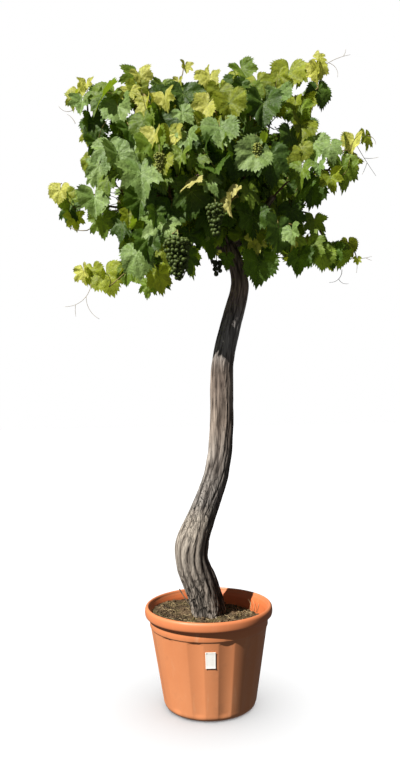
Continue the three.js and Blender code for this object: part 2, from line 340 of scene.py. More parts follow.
def bark_shader():
    """Grey weathered bark: dark fissures that run up the limb, and a net of them at the foot. Their dark is
    partly the bark's own colour and partly painted shade.
    """
    shader = Shader("weathered bark", 0.88, 0.18)
    # The relief attribute's tone: ridges light and fissures dark (the bark's own colour and painted shade),
    # with painted shade in the knots' hollows and on the trunk's right side.
    relief = shader.attribute("relief")
    ridges_and_shade = shader.ramp(
        relief,
        (0.10, linear(22, 20, 19)),
        (0.34, linear(82, 76, 72)),
        (0.60, linear(138, 132, 127)),
        (0.90, linear(182, 177, 171)),
    )
    streaks = shader.grey(shader.noise(120, (1, 1, 0.05), detail=7.0), 0.36, 0.66, 0.56, 1.24)
    worn = shader.mix(1.0, ridges_and_shade, streaks, "MULTIPLY")
    tint = shader.ramp(
        shader.along("Z", 0.4, 1.6),
        (0.06, linear(228, 222, 214)),
        (0.24, linear(228, 222, 212)),
        (0.30, linear(200, 199, 198)),
        (0.38, linear(214, 211, 208)),
        (0.44, linear(248, 243, 238)),
        (0.54, linear(242, 228, 216)),
        (0.70, linear(240, 226, 216)),
        (0.78, linear(230, 232, 234)),
        (0.87, linear(226, 226, 228)),
        (0.95, linear(240, 214, 204)),
    )
    surface = shader.mix(1.0, worn, tint, "MULTIPLY")
    long_cracks = shader.cracks(shader.noise(40, (1, 1, 0.07), detail=2.0), 0.026, 0.08)
    fine_cracks = shader.cracks(shader.noise(85, (1, 1, 0.10), detail=2.0), 0.028, 0.30)
    net = shader.cracks(shader.noise(38, (1, 1, 0.34), detail=2.0), 0.058, 0.02)
    foot = shader.grey(shader.height(), 0.42, 0.56, 1.0, 0.0)
    cracks = shader.mix(1.0, long_cracks, fine_cracks, "MULTIPLY")
    netted = shader.mix(1.0, cracks, net, "MULTIPLY")
    calm = shader.grey(shader.height(), 0.74, 0.96, 0.0, 0.62)
    rope_steps = ((0.43, 0.0), (0.50, 0.7), (0.60, 0.7), (0.70, 0.0))
    ropes = shader.ramp(shader.height(), *((height, (amount,) * 3) for height, amount in rope_steps))
    sparse = shader.mix(ropes, shader.mix(calm, cracks, (1.0, 1.0, 1.0)), (1.0, 1.0, 1.0))
    lines = shader.mix(foot, sparse, netted)
    shader.colour(shader.mix(1.0, surface, lines, "MULTIPLY"))
    shader.bump(shader.noise(260, (1, 1, 0.10), detail=5.0), 0.002, 0.7)
    return shader.bump(lines, 0.003, 0.9).material


def pot_shader():
    shader = Shader("terracotta plastic", 0.5, 0.4)
    drift = shader.noise(4, detail=3.0)
    plain = shader.ramp(drift, (0.3, linear(200, 126, 82)), (0.7, linear(210, 138, 93)))
    scuffs = shader.grey(shader.noise(38, (1, 1, 0.12), detail=7.0, rough=0.68), 0.58, 0.8, 0.0, 0.4)
    dusty = shader.mix(scuffs, plain, linear(224, 176, 138))
    grime = shader.grey(shader.noise(16, detail=6.0, rough=0.7), 0.56, 0.82, 0.0, 0.3)
    worn = shader.mix(grime, dusty, linear(140, 92, 66))
    # Painted shade: the rim band is darker and redder than the wall.
    rim = shader.mix(1.0, worn, (0.89, 0.77, 0.72), "MULTIPLY")
    # Painted shade: the inside wall is darker and deeper orange than the outside.
    inside = shader.mix(1.0, worn, (0.89, 0.62, 0.47), "MULTIPLY")
    worn_with_rim_shade = shader.mix(shader.along("Z", 0.326, 0.340), worn, rim)
    inner = shader.mix(shader.radius(0.2195, 0.2235), (1.0, 1.0, 1.0), (0.0, 0.0, 0.0))
    high = shader.mix(shader.along("Z", 0.300, 0.304), (0.0, 0.0, 0.0), inner)
    shader.colour(shader.mix(high, worn_with_rim_shade, inside))
    shader.rough(shader.grey(shader.noise(30, detail=5.0), 0.3, 0.7, 0.42, 0.6))
    return shader.bump(shader.noise(900, detail=2.0), 0.0004, 0.25).material


def soil_shader():
    shader = Shader("dry soil", 0.95, 0.15)
    grains = shader.noise(150, detail=7.0, rough=0.75)
    grit = shader.ramp(
        grains,
        (0.34, linear(34, 27, 20)),
        (0.47, linear(76, 62, 46)),
        (0.56, linear(104, 87, 65)),
        (0.70, linear(142, 124, 96)),
    )
    clods = shader.grey(shader.noise(26, detail=6.0, rough=0.65), 0.38, 0.60, 0.22, 1.32)
    earth = shader.mix(1.0, grit, clods, "MULTIPLY")
    moss = shader.grey(shader.noise(22, detail=4.0), 0.5, 0.7, 0.0, 0.6)
    shader.colour(shader.mix(moss, earth, linear(92, 88, 50)))
    return shader.bump(grains, 0.004, 0.8).material


def label_shader():
    shader = Shader("plain paper tag", 0.55, 0.4)
    fibres = shader.noise(420, detail=3.0)
    shader.colour(shader.ramp(fibres, (0.3, linear(238, 238, 232)), (0.7, linear(252, 252, 248))))
    return shader.bump(fibres, 0.0002, 0.3).material


def floor_shader():
    """A pale floor that glows a little, so that it takes no tint from the pot."""
    shader = Shader("pale floor", 0.9, 0.0)
    shader.colour(shader.grey(shader.noise(2.0), 0.3, 0.7, 0.315, 0.32))
    shader.base.inputs["Emission Color"].default_value = (1, 1, 1, 1)
    shader.base.inputs["Emission Strength"].default_value = FLOOR_GLOW
    return shader.material


# ---- Floor and light ----
SUN = {"towards": (-0.690, -0.724), "height": 47.5, "strength": 7.9, "softness": 0.8}
SKY_LIGHT = 0.148
FLOOR_GLOW, FLOOR_LIGHT = 0.16, 9.8
FLOOR_SIZE = 60.0

bpy.ops.mesh.primitive_grid_add(size=FLOOR_SIZE, x_subdivisions=4, y_subdivisions=4, location=(0, 0, -0.0003))
floor = bpy.context.object
floor.name = "floor"
floor.data.materials.append(floor_shader())
floor.visible_diffuse = False
floor.visible_glossy = False

world = bpy.data.worlds.new("studio")
world.use_nodes = True
scene.world = world
tree = world.node_tree
backdrop = tree.nodes["Background"]
backdrop.inputs["Color"].default_value = (1, 1, 1, 1)
backdrop.inputs["Strength"].default_value = 1.0
glow = tree.nodes.new("ShaderNodeBackground")
glow.inputs["Color"].default_value = (0.97, 0.985, 1.0, 1)
glow.inputs["Strength"].default_value = SKY_LIGHT
seen = tree.nodes.new("ShaderNodeLightPath")
choose = tree.nodes.new("ShaderNodeMixShader")
tree.links.new(seen.outputs["Is Camera Ray"], choose.inputs["Fac"])
tree.links.new(glow.outputs["Background"], choose.inputs[1])
tree.links.new(backdrop.outputs["Background"], choose.inputs[2])
tree.links.new(choose.outputs["Shader"], tree.nodes["World Output"].inputs["Surface"])

sun_height = math.radians(SUN["height"])
sun_way = Vector((*(Vector(SUN["towards"]).normalized() * math.cos(sun_height)), math.sin(sun_height)))
sun = bpy.data.objects.new("sun", bpy.data.lights.new("sun", "SUN"))
sun.data.energy = SUN["strength"]
sun.data.angle = math.radians(SUN["softness"])
sun.data.color = (1.0, 0.97, 0.92)
sun.rotation_euler = sun_way.to_track_quat("Z", "Y").to_euler()
scene.collection.objects.link(sun)
lit = bpy.data.collections.new("not lit by the sun")
lit.objects.link(floor)
sun.light_linking.receiver_collection = lit
lit.collection_objects[0].light_linking.link_state = "EXCLUDE"

# The floor has a wide soft light of its own, from above, in which only the pot casts a shadow.
overhead = bpy.data.objects.new("overhead", bpy.data.lights.new("overhead", "SUN"))
overhead.data.energy = FLOOR_LIGHT
overhead.data.angle = math.radians(130)
scene.collection.objects.link(overhead)
on_floor = bpy.data.collections.new("lit from overhead")
on_floor.objects.link(floor)
overhead.light_linking.receiver_collection = on_floor
casters = bpy.data.collections.new("casts the floor's shadow")
overhead.light_linking.blocker_collection = casters

# ---- Pot ----
POT = {
    "foot": 0.150,
    "base": 0.175,
    "base_edge": 0.024,
    "neck": 0.220,
    "collar_low": 0.300,
    "collar_high": 0.334,
    "collar": 0.2225,
    "rim": 0.240,
    "rim_width": 0.015,
    "height": 0.370,
    "skin": 0.013,
    "flutes": 12,
    "flute_depth": 0.0041,
    "flute_low": 0.002,
    "flute_high": 0.2985,
    "flute_half": 7.6,
    "first_flute": 16.5,
}
POT_TURNS = 600


def wall_radius(z):
    share = (z - POT["base_edge"]) / (POT["collar_low"] - POT["base_edge"])
    return POT["base"] + (POT["neck"] - POT["base"]) * share


def arc(centre, size, start, end, count):
    """Points of an elliptical arc in the (radius, height) plane, angles in degrees."""
    angles = np.radians(np.linspace(start, end, count))
    return [(centre[0] + size[0] * math.cos(a), centre[1] + size[1] * math.sin(a)) for a in angles]


def pot_profile():
    top, low = POT["height"], POT["collar_high"]
    lip, inner = POT["rim"], POT["rim"] - POT["rim_width"]
    profile = [(0.0, 0.0), (0.08, 0.0), (POT["foot"] - 0.01, 0.0)]
    curve = (POT["base"] - POT["foot"], POT["base_edge"])
    profile += arc((POT["foot"], POT["base_edge"]), curve, -90, 0, 7)
    profile += [(wall_radius(z), z) for z in np.linspace(0.030, 0.2965, 64)]
    profile += [(POT["collar"] - 0.0012, 0.2975), (POT["collar"], POT["collar_low"] + 0.001)]
    collar = POT["collar"]
    profile += [(collar + 0.0002, 0.316), (collar, low - 0.004), (collar + 0.002, low - 0.001)]
    profile += arc((lip - 0.008, low + 0.009), (0.008, 0.009), -90, 0, 6)
    profile += [(lip + 0.0008, (low + top) / 2 - 0.002)]
    profile += arc((lip - 0.009, top - 0.013), (0.009, 0.013), 0, 90, 9)
    profile += arc((inner + 0.006, top - 0.010), (0.006, 0.010), 90, 180, 6)
    inner_heights = (0.348, 0.340, 0.325, 0.312, 0.300, 0.2, 0.1, 0.012)
    profile += [(wall_radius(z) - POT["skin"], z) for z in inner_heights]
    return np.array(profile + [(0.06, 0.010), (0.0, 0.010)])


def build_pot():
    """Turns the profile and presses arched flutes into the outer wall."""
    profile = pot_profile()
    angles = np.arange(POT_TURNS) * 2 * math.pi / POT_TURNS
    radius = np.repeat(profile[:, :1], POT_TURNS, axis=1)
    height = np.repeat(profile[:, 1:], POT_TURNS, axis=1)
    pitch = 360 / POT["flutes"]
    offset = np.degrees(angles) - POT["first_flute"]
    offset = np.abs((offset + pitch / 2) % pitch - pitch / 2)
    scoop = 1.06 - (offset / POT["flute_half"]) ** 2
    across = np.logaddexp(0, 16 * scoop) / 16 / 1.06
    arch = POT["flute_high"] - 0.007 * (offset / POT["flute_half"]) ** 2
    along = smoothstep(height, POT["flute_low"], POT["flute_low"] + 0.030)
    along = along * (1 - smoothstep(height, arch - 0.004, arch))
    outside = (np.arange(len(profile)) < 80)[:, None] & (height < POT["flute_high"] + 0.01)
    radius = radius - np.where(outside, POT["flute_depth"] * across * along, 0)
    x, y = radius * np.sin(angles), -radius * np.cos(angles)
    heap = Heap()
    heap.add(np.stack([x, y, height], -1).reshape(-1, 3), grid_faces(len(profile), POT_TURNS))
    made = heap.piece("pot_shell", pot_shader(), "pot_plastic", ["pot"])
    merge_close(made)
    return made


def merge_close(made):
    """Closes the ends of a turned shape, whose first and last rows are single points."""
    shape = bmesh.new()
    shape.from_mesh(made.data)
    bmesh.ops.remove_doubles(shape, verts=shape.verts, dist=1e-6)
    bmesh.ops.recalc_face_normals(shape, faces=shape.faces)
    shape.to_mesh(made.data)
    shape.free()


# ---- Soil ----
SOIL = {"rings": 60, "turns": 200, "stalks": 230, "crumbs": 520, "sag": 0.002, "tilt": 0.0195}
# A stick that leans on the wall at the back, and pale weeds beside the wall on the right.
STICKS = [
    ("dark", 0.0026, [
        (-0.116, 0.155, 0.385), (-0.098, 0.135, 0.362), (-0.078, 0.112, 0.338), (-0.07, 0.1, 0.32),
    ]),
    ("pale", 0.0012, [(0.176, 0.085, 0.31), (0.180, 0.088, 0.335), (0.174, 0.096, 0.352)]),
    ("pale", 0.0010, [(0.172, 0.080, 0.31), (0.164, 0.084, 0.333), (0.166, 0.095, 0.346)]),
    ("pale", 0.0010, [(0.186, 0.078, 0.31), (0.194, 0.082, 0.328), (0.196, 0.078, 0.345)]),
    ("pale", 0.0009, [(0.160, 0.105, 0.31), (0.166, 0.112, 0.336), (0.158, 0.118, 0.350)]),
]


def soil_edge(turn, flat):
    """Height of the soil at the wall: heaped on the left, hollow at the back on the right."""
    hollow = 0.007 * math.exp(-((math.cos(turn - 0.9) - 1) / 0.2) ** 2)
    return flat - SOIL["sag"] - SOIL["tilt"] * math.cos(turn) - hollow


def soil_height(x, y, flat, reach):
    """The soil's lumpy surface: level in the middle, tipped towards the wall."""
    radius = math.hypot(x, y)
    edge = soil_edge(math.atan2(y, x), flat)
    fall = (flat - edge) * float(smoothstep(radius, 0.3 * reach, reach))
    place = Vector((x, y, 0.0))
    lumps = 0.0045 * noise.noise(place * 22) + 0.0028 * noise.noise(place * 60)
    crumbs = 0.0016 * noise.noise(place * 170)
    mound = 0.010 * math.exp(-((radius / 0.085) ** 2))
    return flat - fall + lumps + crumbs + mound


def build_soil():
    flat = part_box("soil")[1].z - SOIL["tilt"]
    reach = wall_radius(flat) - POT["skin"] + 0.0006
    radii = np.linspace(0, 1, SOIL["rings"]) ** 0.8
    angles = np.arange(SOIL["turns"]) * 2 * math.pi / SOIL["turns"]
    reaches = [wall_radius(soil_edge(a, flat)) - POT["skin"] + 0.0012 for a in angles]
    x = np.outer(radii, reaches * np.cos(angles)).ravel()
    y = np.outer(radii, reaches * np.sin(angles)).ravel()
    z = np.array([soil_height(a, b, flat, reach) for a, b in zip(x, y)])
    heap = Heap()
    heap.add(np.stack([x, y, z], -1), grid_faces(SOIL["rings"], SOIL["turns"]))
    surface = heap.piece("soil_top", soil_shader(), "soil", ["soil"])
    merge_close(surface)
    random = np.random.default_rng(11)
    straw, sticks, crumbs = Heap(), Heap(), Heap()
    for k in range(SOIL["stalks"]):
        spot = reach * 0.95 * math.sqrt(random.random()) * unit(random.normal(size=2))
        way = random.uniform(0, 2 * math.pi)
        length = random.uniform(0.012, 0.05)
        bend = random.uniform(-0.25, 0.25)
        line = []
        for share in np.linspace(-0.5, 0.5, 4):
            angle = way + bend * share
            x, y = spot + length * share * np.array([math.cos(angle), math.sin(angle)])
            if math.hypot(x, y) > reach * 0.97:
                break
            line.append((x, y, soil_height(x, y, flat, reach) + 0.0012 + 0.004 * abs(share)))
        if len(line) == 4:
            thick = random.uniform(0.0005, 0.0015)
            (straw if k % 3 else sticks).add(*tube(line, [thick] * 4, 4))
    for _ in range(SOIL["crumbs"]):
        spot = reach * 0.96 * math.sqrt(random.random()) * unit(random.normal(size=2))
        size = random.uniform(0.0015, 0.0068)
        centre = np.array([*spot, soil_height(*spot, flat, reach) + size * 0.3])
        crumbs.add(*lump(centre, size, random))
    for way, thick, course in STICKS:
        kept_in = straw if way == "pale" else sticks
        kept_in.add(*tube(course, np.linspace(thick, thick * 0.6, len(course)), 6))
    straw.piece("soil_straw", twig_shader("straw", (112, 96, 66), (172, 154, 116)), "soil")
    sticks.piece("soil_litter", twig_shader("litter", (38, 30, 24), (96, 82, 62)), "soil")
    crumbs.piece("soil_crumbs", soil_shader(), "soil")


def ball(subdivisions):
    """A round ball as points and triangles."""
    shape = bmesh.new()
    bmesh.ops.create_icosphere(shape, subdivisions=subdivisions, radius=1.0)
    points = np.array([v.co[:] for v in shape.verts])
    faces = np.array([[v.index for v in f.verts] for f in shape.faces])
    shape.free()
    return points, faces


COARSE_BALL = ball(1)


def lump(centre, size, random):
    points, faces = COARSE_BALL
    stretch = random.uniform(0.6, 1.3, 3)
    wobble = 1 + random.uniform(-0.25, 0.25, (len(points), 1))
    return centre + size * points * stretch * wobble, faces


# ---- Label: a blank tag ----
def build_label():
    low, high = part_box("label")
    middle = (low + high) / 2
    half = (high.x - low.x) / 2
    height = high.z - low.z
    heap, spot = Heap(), Heap()
    columns, rows, thick = 15, 25, 0.0008
    layers = []
    for lift in (0.0004, 0.0004 + thick):
        for v in np.linspace(0, 1, rows):
            for u in np.linspace(-1, 1, columns):
                layers.append(label_point(middle.x, half, low.z, height, u, v, lift))
    count = rows * columns
    sheet = grid_faces(rows, columns, closed=False)
    edge = border(rows, columns)
    rim = np.stack([edge, np.roll(edge, -1), np.roll(edge, -1) + count, edge + count], -1)
    heap.add(np.array(layers), sheet[:, ::-1], sheet + count, rim)
    tag = heap.piece("label_tag", label_shader(), "label", ["label"])
    ring = [label_point(middle.x, half, low.z, height, -0.72, 0.93, 0.0014)]
    turns = 14
    for k in range(turns):
        angle = 2 * math.pi * k / turns
        u = -0.72 + 0.11 * math.cos(angle)
        v = 0.93 + 0.11 * math.sin(angle) * half / (height / 2) / 2
        ring.append(label_point(middle.x, half, low.z, height, u, v, 0.0014))
    fan = [(0, 1 + k, 1 + (k + 1) % turns) for k in range(turns)]
    spot.add(np.array(ring), np.array(fan))
    mark = Shader("tag hole", 0.8)
    mark.colour(mark.ramp(mark.noise(300), (0.3, linear(40, 38, 36)), (0.7, linear(64, 60, 56))))
    spot.piece("label_hole", mark.material, "label")
    return tag


def label_point(x, half, low, height, u, v, lift):
    """A point of the tag: it follows the wall, bridges the flutes and curls at its corners."""
    z = low + height * v
    curl = 0.0012 * abs(u) ** 6 + 0.0012 * abs(2 * v - 1) ** 8
    radius = wall_radius(z) + 0.0003 + lift + curl
    angle = (x + half * u) / wall_radius(low)
    return radius * math.sin(angle), -radius * math.cos(angle), z


def border(rows, columns):
    """Indices round the edge of a grid, in order."""
    bottom = np.arange(columns)
    right = np.arange(1, rows) * columns + columns - 1
    top = np.arange(columns - 2, -1, -1) + (rows - 1) * columns
    left = np.arange(rows - 2, 0, -1) * columns
    return np.concatenate([bottom, right, top, left])


# ---- Bark ----
TRUNK_TURNS, TRUNK_STEP = 144, 0.0027
BOUGH_TURNS, BOUGH_STEP = 24, 0.006
SUNK, SLOPE = 0.004, 0.018  # below the foot's lowest point, and its height on the slope of the soil
KNOTS = [
    # height above the soil, turn in degrees from the front, width, depth
    (0.58, 170, 0.018, 0.007),
    (0.26, 130, 0.020, 0.008),
]


def smooth_rows(values, sigma, closed):
    """Gaussian smoothing down the rows of an array; closed wraps the rows round."""
    reach = int(3 * sigma) + 1
    weights = np.exp(-0.5 * (np.arange(-reach, reach + 1) / sigma) ** 2)
    weights /= weights.sum()
    padding = [(reach, reach)] + [(0, 0)] * (values.ndim - 1)
    wide = np.pad(values, padding, mode="wrap" if closed else "edge")
    return sum(w * wide[k : k + len(values)] for k, w in enumerate(weights))


def sections(name, heights, first):
    """Centre of a standing limb at each height, and its radius all round, from its solid."""
    tree = node_tree(name)
    low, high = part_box(name)
    angles = np.arange(TRUNK_TURNS) * 2 * math.pi / TRUNK_TURNS
    ways = [Vector((math.sin(a), -math.cos(a), 0)) for a in angles]
    flat_ways = np.array([way[:] for way in ways])
    centre, centres = np.array(first, float), []
    for z in heights:
        level = min(max(z, low.z + SLOPE), high.z - 0.004)
        for _ in range(3):
            reach = [cast(tree, (centre[0], centre[1], level), ways[k]) for k in range(0, TRUNK_TURNS, 10)]
            centre = centre + 0.9 * (np.array(reach)[:, None] * flat_ways[::10, :2]).mean(0)
        centres.append(centre.copy())
    centres = smooth_rows(np.array(centres), 9, False)
    radii = np.empty((len(heights), TRUNK_TURNS))
    for k, z in enumerate(heights):
        level = min(max(z, low.z + SLOPE), high.z - 0.004)
        radii[k] = [cast(tree, (*centres[k], level), way) for way in ways]
    radii = smooth_rows(radii, 8, False)
    radii = smooth_rows(radii.T, 4, True).T
    return centres, radii


def cast(tree, start, way):
    hit = tree.ray_cast(Vector(start), way, 0.3)
    return hit[3] if hit[3] is not None else 0.03


def bark_relief(turn, height, radius, seed, foot=0.0, strands=0.0):
    """Height of the bark's ridges above its fissures, 0 to about 1; strands is the share of its ropes."""
    twist = 0.5 * math.sin(height * 3.1 + seed) + foot * 1.1 * math.sin(height * 15 + 1.0)
    warp = Vector((math.sin(turn) * 2, math.cos(turn) * 2, height * 5.5 + seed))
    angle = turn + 0.25 * twist + 0.22 * noise.noise(warp) + 0.10 * noise.noise(warp * 3.1)
    around = Vector((math.sin(angle), math.cos(angle), 0)) * radius
    coarse = noise.noise(around * 52 + Vector((seed, 0, height * (3.6 + 12 * foot))))
    fine = noise.noise(around * 125 + Vector((0, seed, height * (9 + 24 * foot))))
    fibre = noise.noise(around * 260 + Vector((seed, seed, height * 26)))
    ridge = min(1.0, abs(coarse) * 4.6)
    rill = min(1.0, abs(fine) * 4.2)
    if foot > 0.05:
        lean = angle + 6.5 * foot * height
        cells = Vector((math.sin(lean), math.cos(lean), 0)) * radius * 40
        mesh = noise.noise(cells + Vector((3.3, seed, height * 26)))
        ridge = ridge * (1 - 0.6 * foot) + 0.6 * foot * min(1.0, abs(mesh) * 3.4)
    wound = turn + 0.24 * math.sin(height * 4.0 + 1.0) + 0.14 * noise.noise(warp)
    strand = abs(math.sin(7.0 * wound)) ** 0.7
    plain = 0.62 * ridge**0.8 + 0.30 * rill + 0.16 * fibre
    return plain + strands * (0.25 * plain + 0.75 * strand - plain)


def knot_relief(turn, height, radius):
    """Old pruning scars: a raised collar round a hollow, which is darkened with painted shade where the tone
    is made.
    """
    swell, hole = 0.0, 0.0
    for rise, at, width, depth in KNOTS:
        away = (turn - math.radians(at) + math.pi) % (2 * math.pi) - math.pi
        gap = math.hypot(away * radius, (height - rise) * 0.7) / width
        if gap < 3:
            swell += depth * math.exp(-((gap - 0.9) ** 2) * 3)
            hole += math.exp(-((gap * 2.2) ** 2))
    return swell, hole


def trunk_mesh(heap, tones):
    """The trunk: sections of the solid, with fissured bark, down into the soil and up to a dome."""
    low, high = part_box("trunk")
    heights = np.arange(low.z - SUNK, high.z - 0.001, TRUNK_STEP)
    base = node_points("trunk")
    foot_ring = base[base[:, 2] < low.z + SLOPE]
    first = (foot_ring[:, :2].max(0) + foot_ring[:, :2].min(0)) / 2
    centres, radii = sections("trunk", heights, first)
    angles = np.arange(TRUNK_TURNS) * 2 * math.pi / TRUNK_TURNS
    points, tone = np.empty((len(heights), TRUNK_TURNS, 3)), np.empty((len(heights), TRUNK_TURNS))
    for k, z in enumerate(heights):
        above = z - low.z
        foot = math.exp(-max(above, 0) / 0.10)
        strands = 0.14 + 0.72 * math.exp(-(((above - 0.19) / 0.13) ** 2))
        calm = float(smoothstep(above, 0.46, 0.80))
        depth = 0.0050 + 0.0035 * foot + 0.0055 * strands - 0.0016 * calm
        # How far up the painted shade on the trunk's right side reaches: full on the lower trunk, fading out
        # higher up.
        shaded = 1 - float(smoothstep(above, 0.60, 0.86))
        dome = math.sqrt(max(0.0, 1 - max(0.0, (z - high.z + 0.03) / 0.03) ** 2))
        for j, angle in enumerate(angles):
            radius = radii[k, j]
            relief = bark_relief(angle, above, radius, 3.7, foot, strands)
            # Painted shade: the trunk's right side, away from the sun, is darkened.
            side = math.exp(-((((angle - 1.25 + math.pi) % (2 * math.pi) - math.pi) / 0.75) ** 2))
            swell, hole = knot_relief(angle, above, radius)
            shifted = radius + depth * (relief - 0.62) + swell - 0.008 * hole
            shifted *= 0.15 + 0.85 * dome
            # The tone: the relief, whose dark fissures are partly the bark's own colour and partly painted
            # shade; painted shade in the knots' hollows; lighter knot collars; and painted shade on the right
            # side.
            even = relief + (0.66 - relief) * (0.32 * calm) + 0.10 * math.exp(-((above / 0.09) ** 2))
            tone[k, j] = even * (1 - 0.85 * min(1.0, hole)) * (1 + 12 * swell) * (1 - 0.42 * side * shaded)
            points[k, j] = (
                centres[k][0] + shifted * math.sin(angle),
                centres[k][1] - shifted * math.cos(angle),
                z,
            )
    add_grid(heap, points)
    tones.append(np.append(tone.ravel(), [0.3, 0.3]))
    return centres, heights


def add_grid(heap, points):
    """A limb's rows of points as a closed mesh with its two ends shut."""
    rows, columns = points.shape[:2]
    ring = np.arange(columns)
    after = (ring + 1) % columns
    end = (rows - 1) * columns
    flat = np.vstack([points.reshape(-1, 3), points[0].mean(0), points[-1].mean(0)])
    first, last = len(flat) - 2, len(flat) - 1
    caps = np.vstack([
        np.stack([after, ring, np.full(columns, first)], -1),
        np.stack([ring + end, after + end, np.full(columns, last)], -1),
    ])
    heap.add(flat, grid_faces(rows, columns), caps)


def bough_course(name, head):
    """A bough's line from the head to its tip, and its radius at the tip, from its solid."""
    points = node_points(name)
    away = np.linalg.norm(points - head, axis=1)
    edges = np.linspace(away.min(), away.max() + 1e-6, 5)
    groups = [points[(away >= a) & (away < b)] for a, b in zip(edges[:-1], edges[1:])]
    middles = [group.mean(0) for group in groups if len(group) > 3]
    tip = points[np.argsort(away)[-7:]]
    size = np.linalg.norm(tip - tip.mean(0), axis=1).max()
    return np.array([head, *middles[:-1], tip.mean(0)]), size


def bough_mesh(heap, tones, course, size, seed):
    length = np.linalg.norm(np.diff(course, axis=0), axis=1).sum()
    line = curve_through(course, int(length / BOUGH_STEP))
    tangents = np.gradient(line, axis=0)
    side = unit(np.cross(tangents[0], [0.3, 0.9, 0.1]))
    points, tone = np.empty((len(line), BOUGH_TURNS, 3)), np.empty((len(line), BOUGH_TURNS))
    for k, (middle, tangent) in enumerate(zip(line, tangents)):
        tangent = unit(tangent)
        side = unit(side - tangent * side.dot(tangent))
        other = np.cross(tangent, side)
        share = k / (len(line) - 1)
        radius = size + (0.027 - size) * (1 - share) ** 1.2
        radius *= 1 + 0.10 * noise.noise(Vector((share * 9, seed, 0)))
        for j in range(BOUGH_TURNS):
            angle = 2 * math.pi * j / BOUGH_TURNS
            relief = bark_relief(angle, share * length, radius, seed)
            # The tone follows the relief: darker fissures, partly the bark's own colour and partly painted
            # shade.
            tone[k, j] = relief * 0.9
            reach = radius + 0.0035 * (relief - 0.6)
            points[k, j] = middle + reach * (math.cos(angle) * side + math.sin(angle) * other)
    add_grid(heap, points)
    tones.append(np.append(tone.ravel(), [0.3, 0.3]))
    return line


def build_wood():
    """The trunk and boughs in one mesh. Returns the boughs' lines, for the vine to grow from."""
    heap, tones = Heap(), []
    centres, heights = trunk_mesh(heap, tones)
    top = int(len(heights) * 0.985)
    head = np.array([*centres[top], heights[top]])
    lines = []
    names = sorted(name for name in NODES if name.startswith("bough_"))
    for seed, name in enumerate(names):
        course, size = bough_course(name, head)
        lines.append(bough_mesh(heap, tones, course, size, 11.3 * (seed + 1)))
    made = heap.piece("bark", bark_shader(), "bark", ["trunk", *names])
    layer = made.data.attributes.new("relief", "FLOAT", "POINT")
    layer.data.foreach_set("value", np.concatenate(tones).astype(np.float32))
    return head, lines


# ---- Leaves ----
# Half of a leaf's outline: degrees from the tip, and reach from the stalk in shares of the length to the tip.
LEAF_OUTLINES = [
    # deeply lobed, lobed and nearly whole
    [
        (0, 1.0), (9, 0.92), (19, 0.76), (27, 0.60), (33, 0.62), (41, 0.84), (48, 0.93), (56, 0.84),
        (66, 0.65), (76, 0.51), (84, 0.60), (97, 0.80), (108, 0.77), (122, 0.66), (138, 0.62),
        (152, 0.58), (164, 0.45), (172, 0.22),
    ],
    [
        (0, 0.98), (10, 0.91), (22, 0.76), (31, 0.70), (44, 0.88), (52, 0.87), (64, 0.73), (76, 0.62),
        (86, 0.68), (99, 0.79), (112, 0.73), (128, 0.64), (146, 0.61), (160, 0.51), (168, 0.35),
        (173, 0.17),
    ],
    [
        (0, 0.95), (12, 0.89), (26, 0.80), (36, 0.80), (46, 0.86), (58, 0.82), (72, 0.74), (86, 0.74),
        (100, 0.77), (116, 0.70), (134, 0.64), (150, 0.58), (163, 0.45), (172, 0.21),
    ],
]
VEINS = (0, 45, 100, 145)
LEAF_LENGTH = 1.45  # from the tip to the back of the lobes, in the outline's unit
BLADE_MIDDLE = 0.27  # from the stalk's end to the middle of the blade, in the same unit
LEAF_STEP = 5
RINGS = (0.3, 0.62, 1.0)


def leaf_template(outline, seed):
    """Flat points of a leaf, x across and y towards the tip, with its triangles."""
    random = np.random.default_rng(seed)
    angles = np.arange(-170, 171, LEAF_STEP).astype(float)
    reach = np.interp(np.abs(angles), *zip(*outline))
    tooth = np.where((np.abs(angles) / LEAF_STEP).round() % 2 == 0, 1.0, -1.0)
    toothed = reach * (1 + tooth * random.uniform(0.035, 0.095, len(angles)))
    swing = random.uniform(-1.2, 1.2, len(angles)) - np.sign(angles) * 1.3 * tooth
    rows = [np.zeros((1, 2))]
    for ring in RINGS:
        edge = toothed if ring == 1.0 else smooth_rows(reach, 0.8, False) * ring
        turned = np.radians(angles + (swing if ring == 1.0 else 0))
        rows.append(np.stack([edge * np.sin(turned), edge * np.cos(turned)], -1))
    count = len(angles)
    fan = [(0, 1 + k, 2 + k) for k in range(0, count - 1)]
    faces = [np.array(fan)[:, ::-1]]
    for ring in range(len(RINGS) - 1):
        near, far = 1 + ring * count, 1 + (ring + 1) * count
        k = np.arange(count - 1)
        faces.append(np.stack([near + k, near + k + 1, far + k], -1))
        faces.append(np.stack([near + k + 1, far + k + 1, far + k], -1))
    return np.vstack(rows), np.vstack(faces)


LEAVES = [leaf_template(outline, seed) for seed, outline in enumerate(LEAF_OUTLINES * 2)]


def blade_height(x, y, form):
    """How far the blade stands off its plane: fold, cup, droop, puckers and a wavy edge."""
    reach = np.hypot(x, y)
    angle = np.degrees(np.arctan2(np.abs(x), y))
    nearest = np.min([np.abs(angle - vein) for vein in VEINS], axis=0)
    off_vein = reach * np.sin(np.radians(np.minimum(nearest, 60)))
    pucker = form["pucker"] * (1 - np.exp(-((off_vein / 0.11) ** 2))) * np.minimum(1, reach * 2.5)
    side = np.arctan2(x, y)
    wave = form["wave"] * reach**2 * np.sin(form["waves"] * side + form["phase"])
    cup = form["cup"] * reach**2
    droop = form["droop"] * np.maximum(y, 0) ** 2
    return pucker + wave - cup - droop + form["fold"] * np.abs(x) ** 1.15


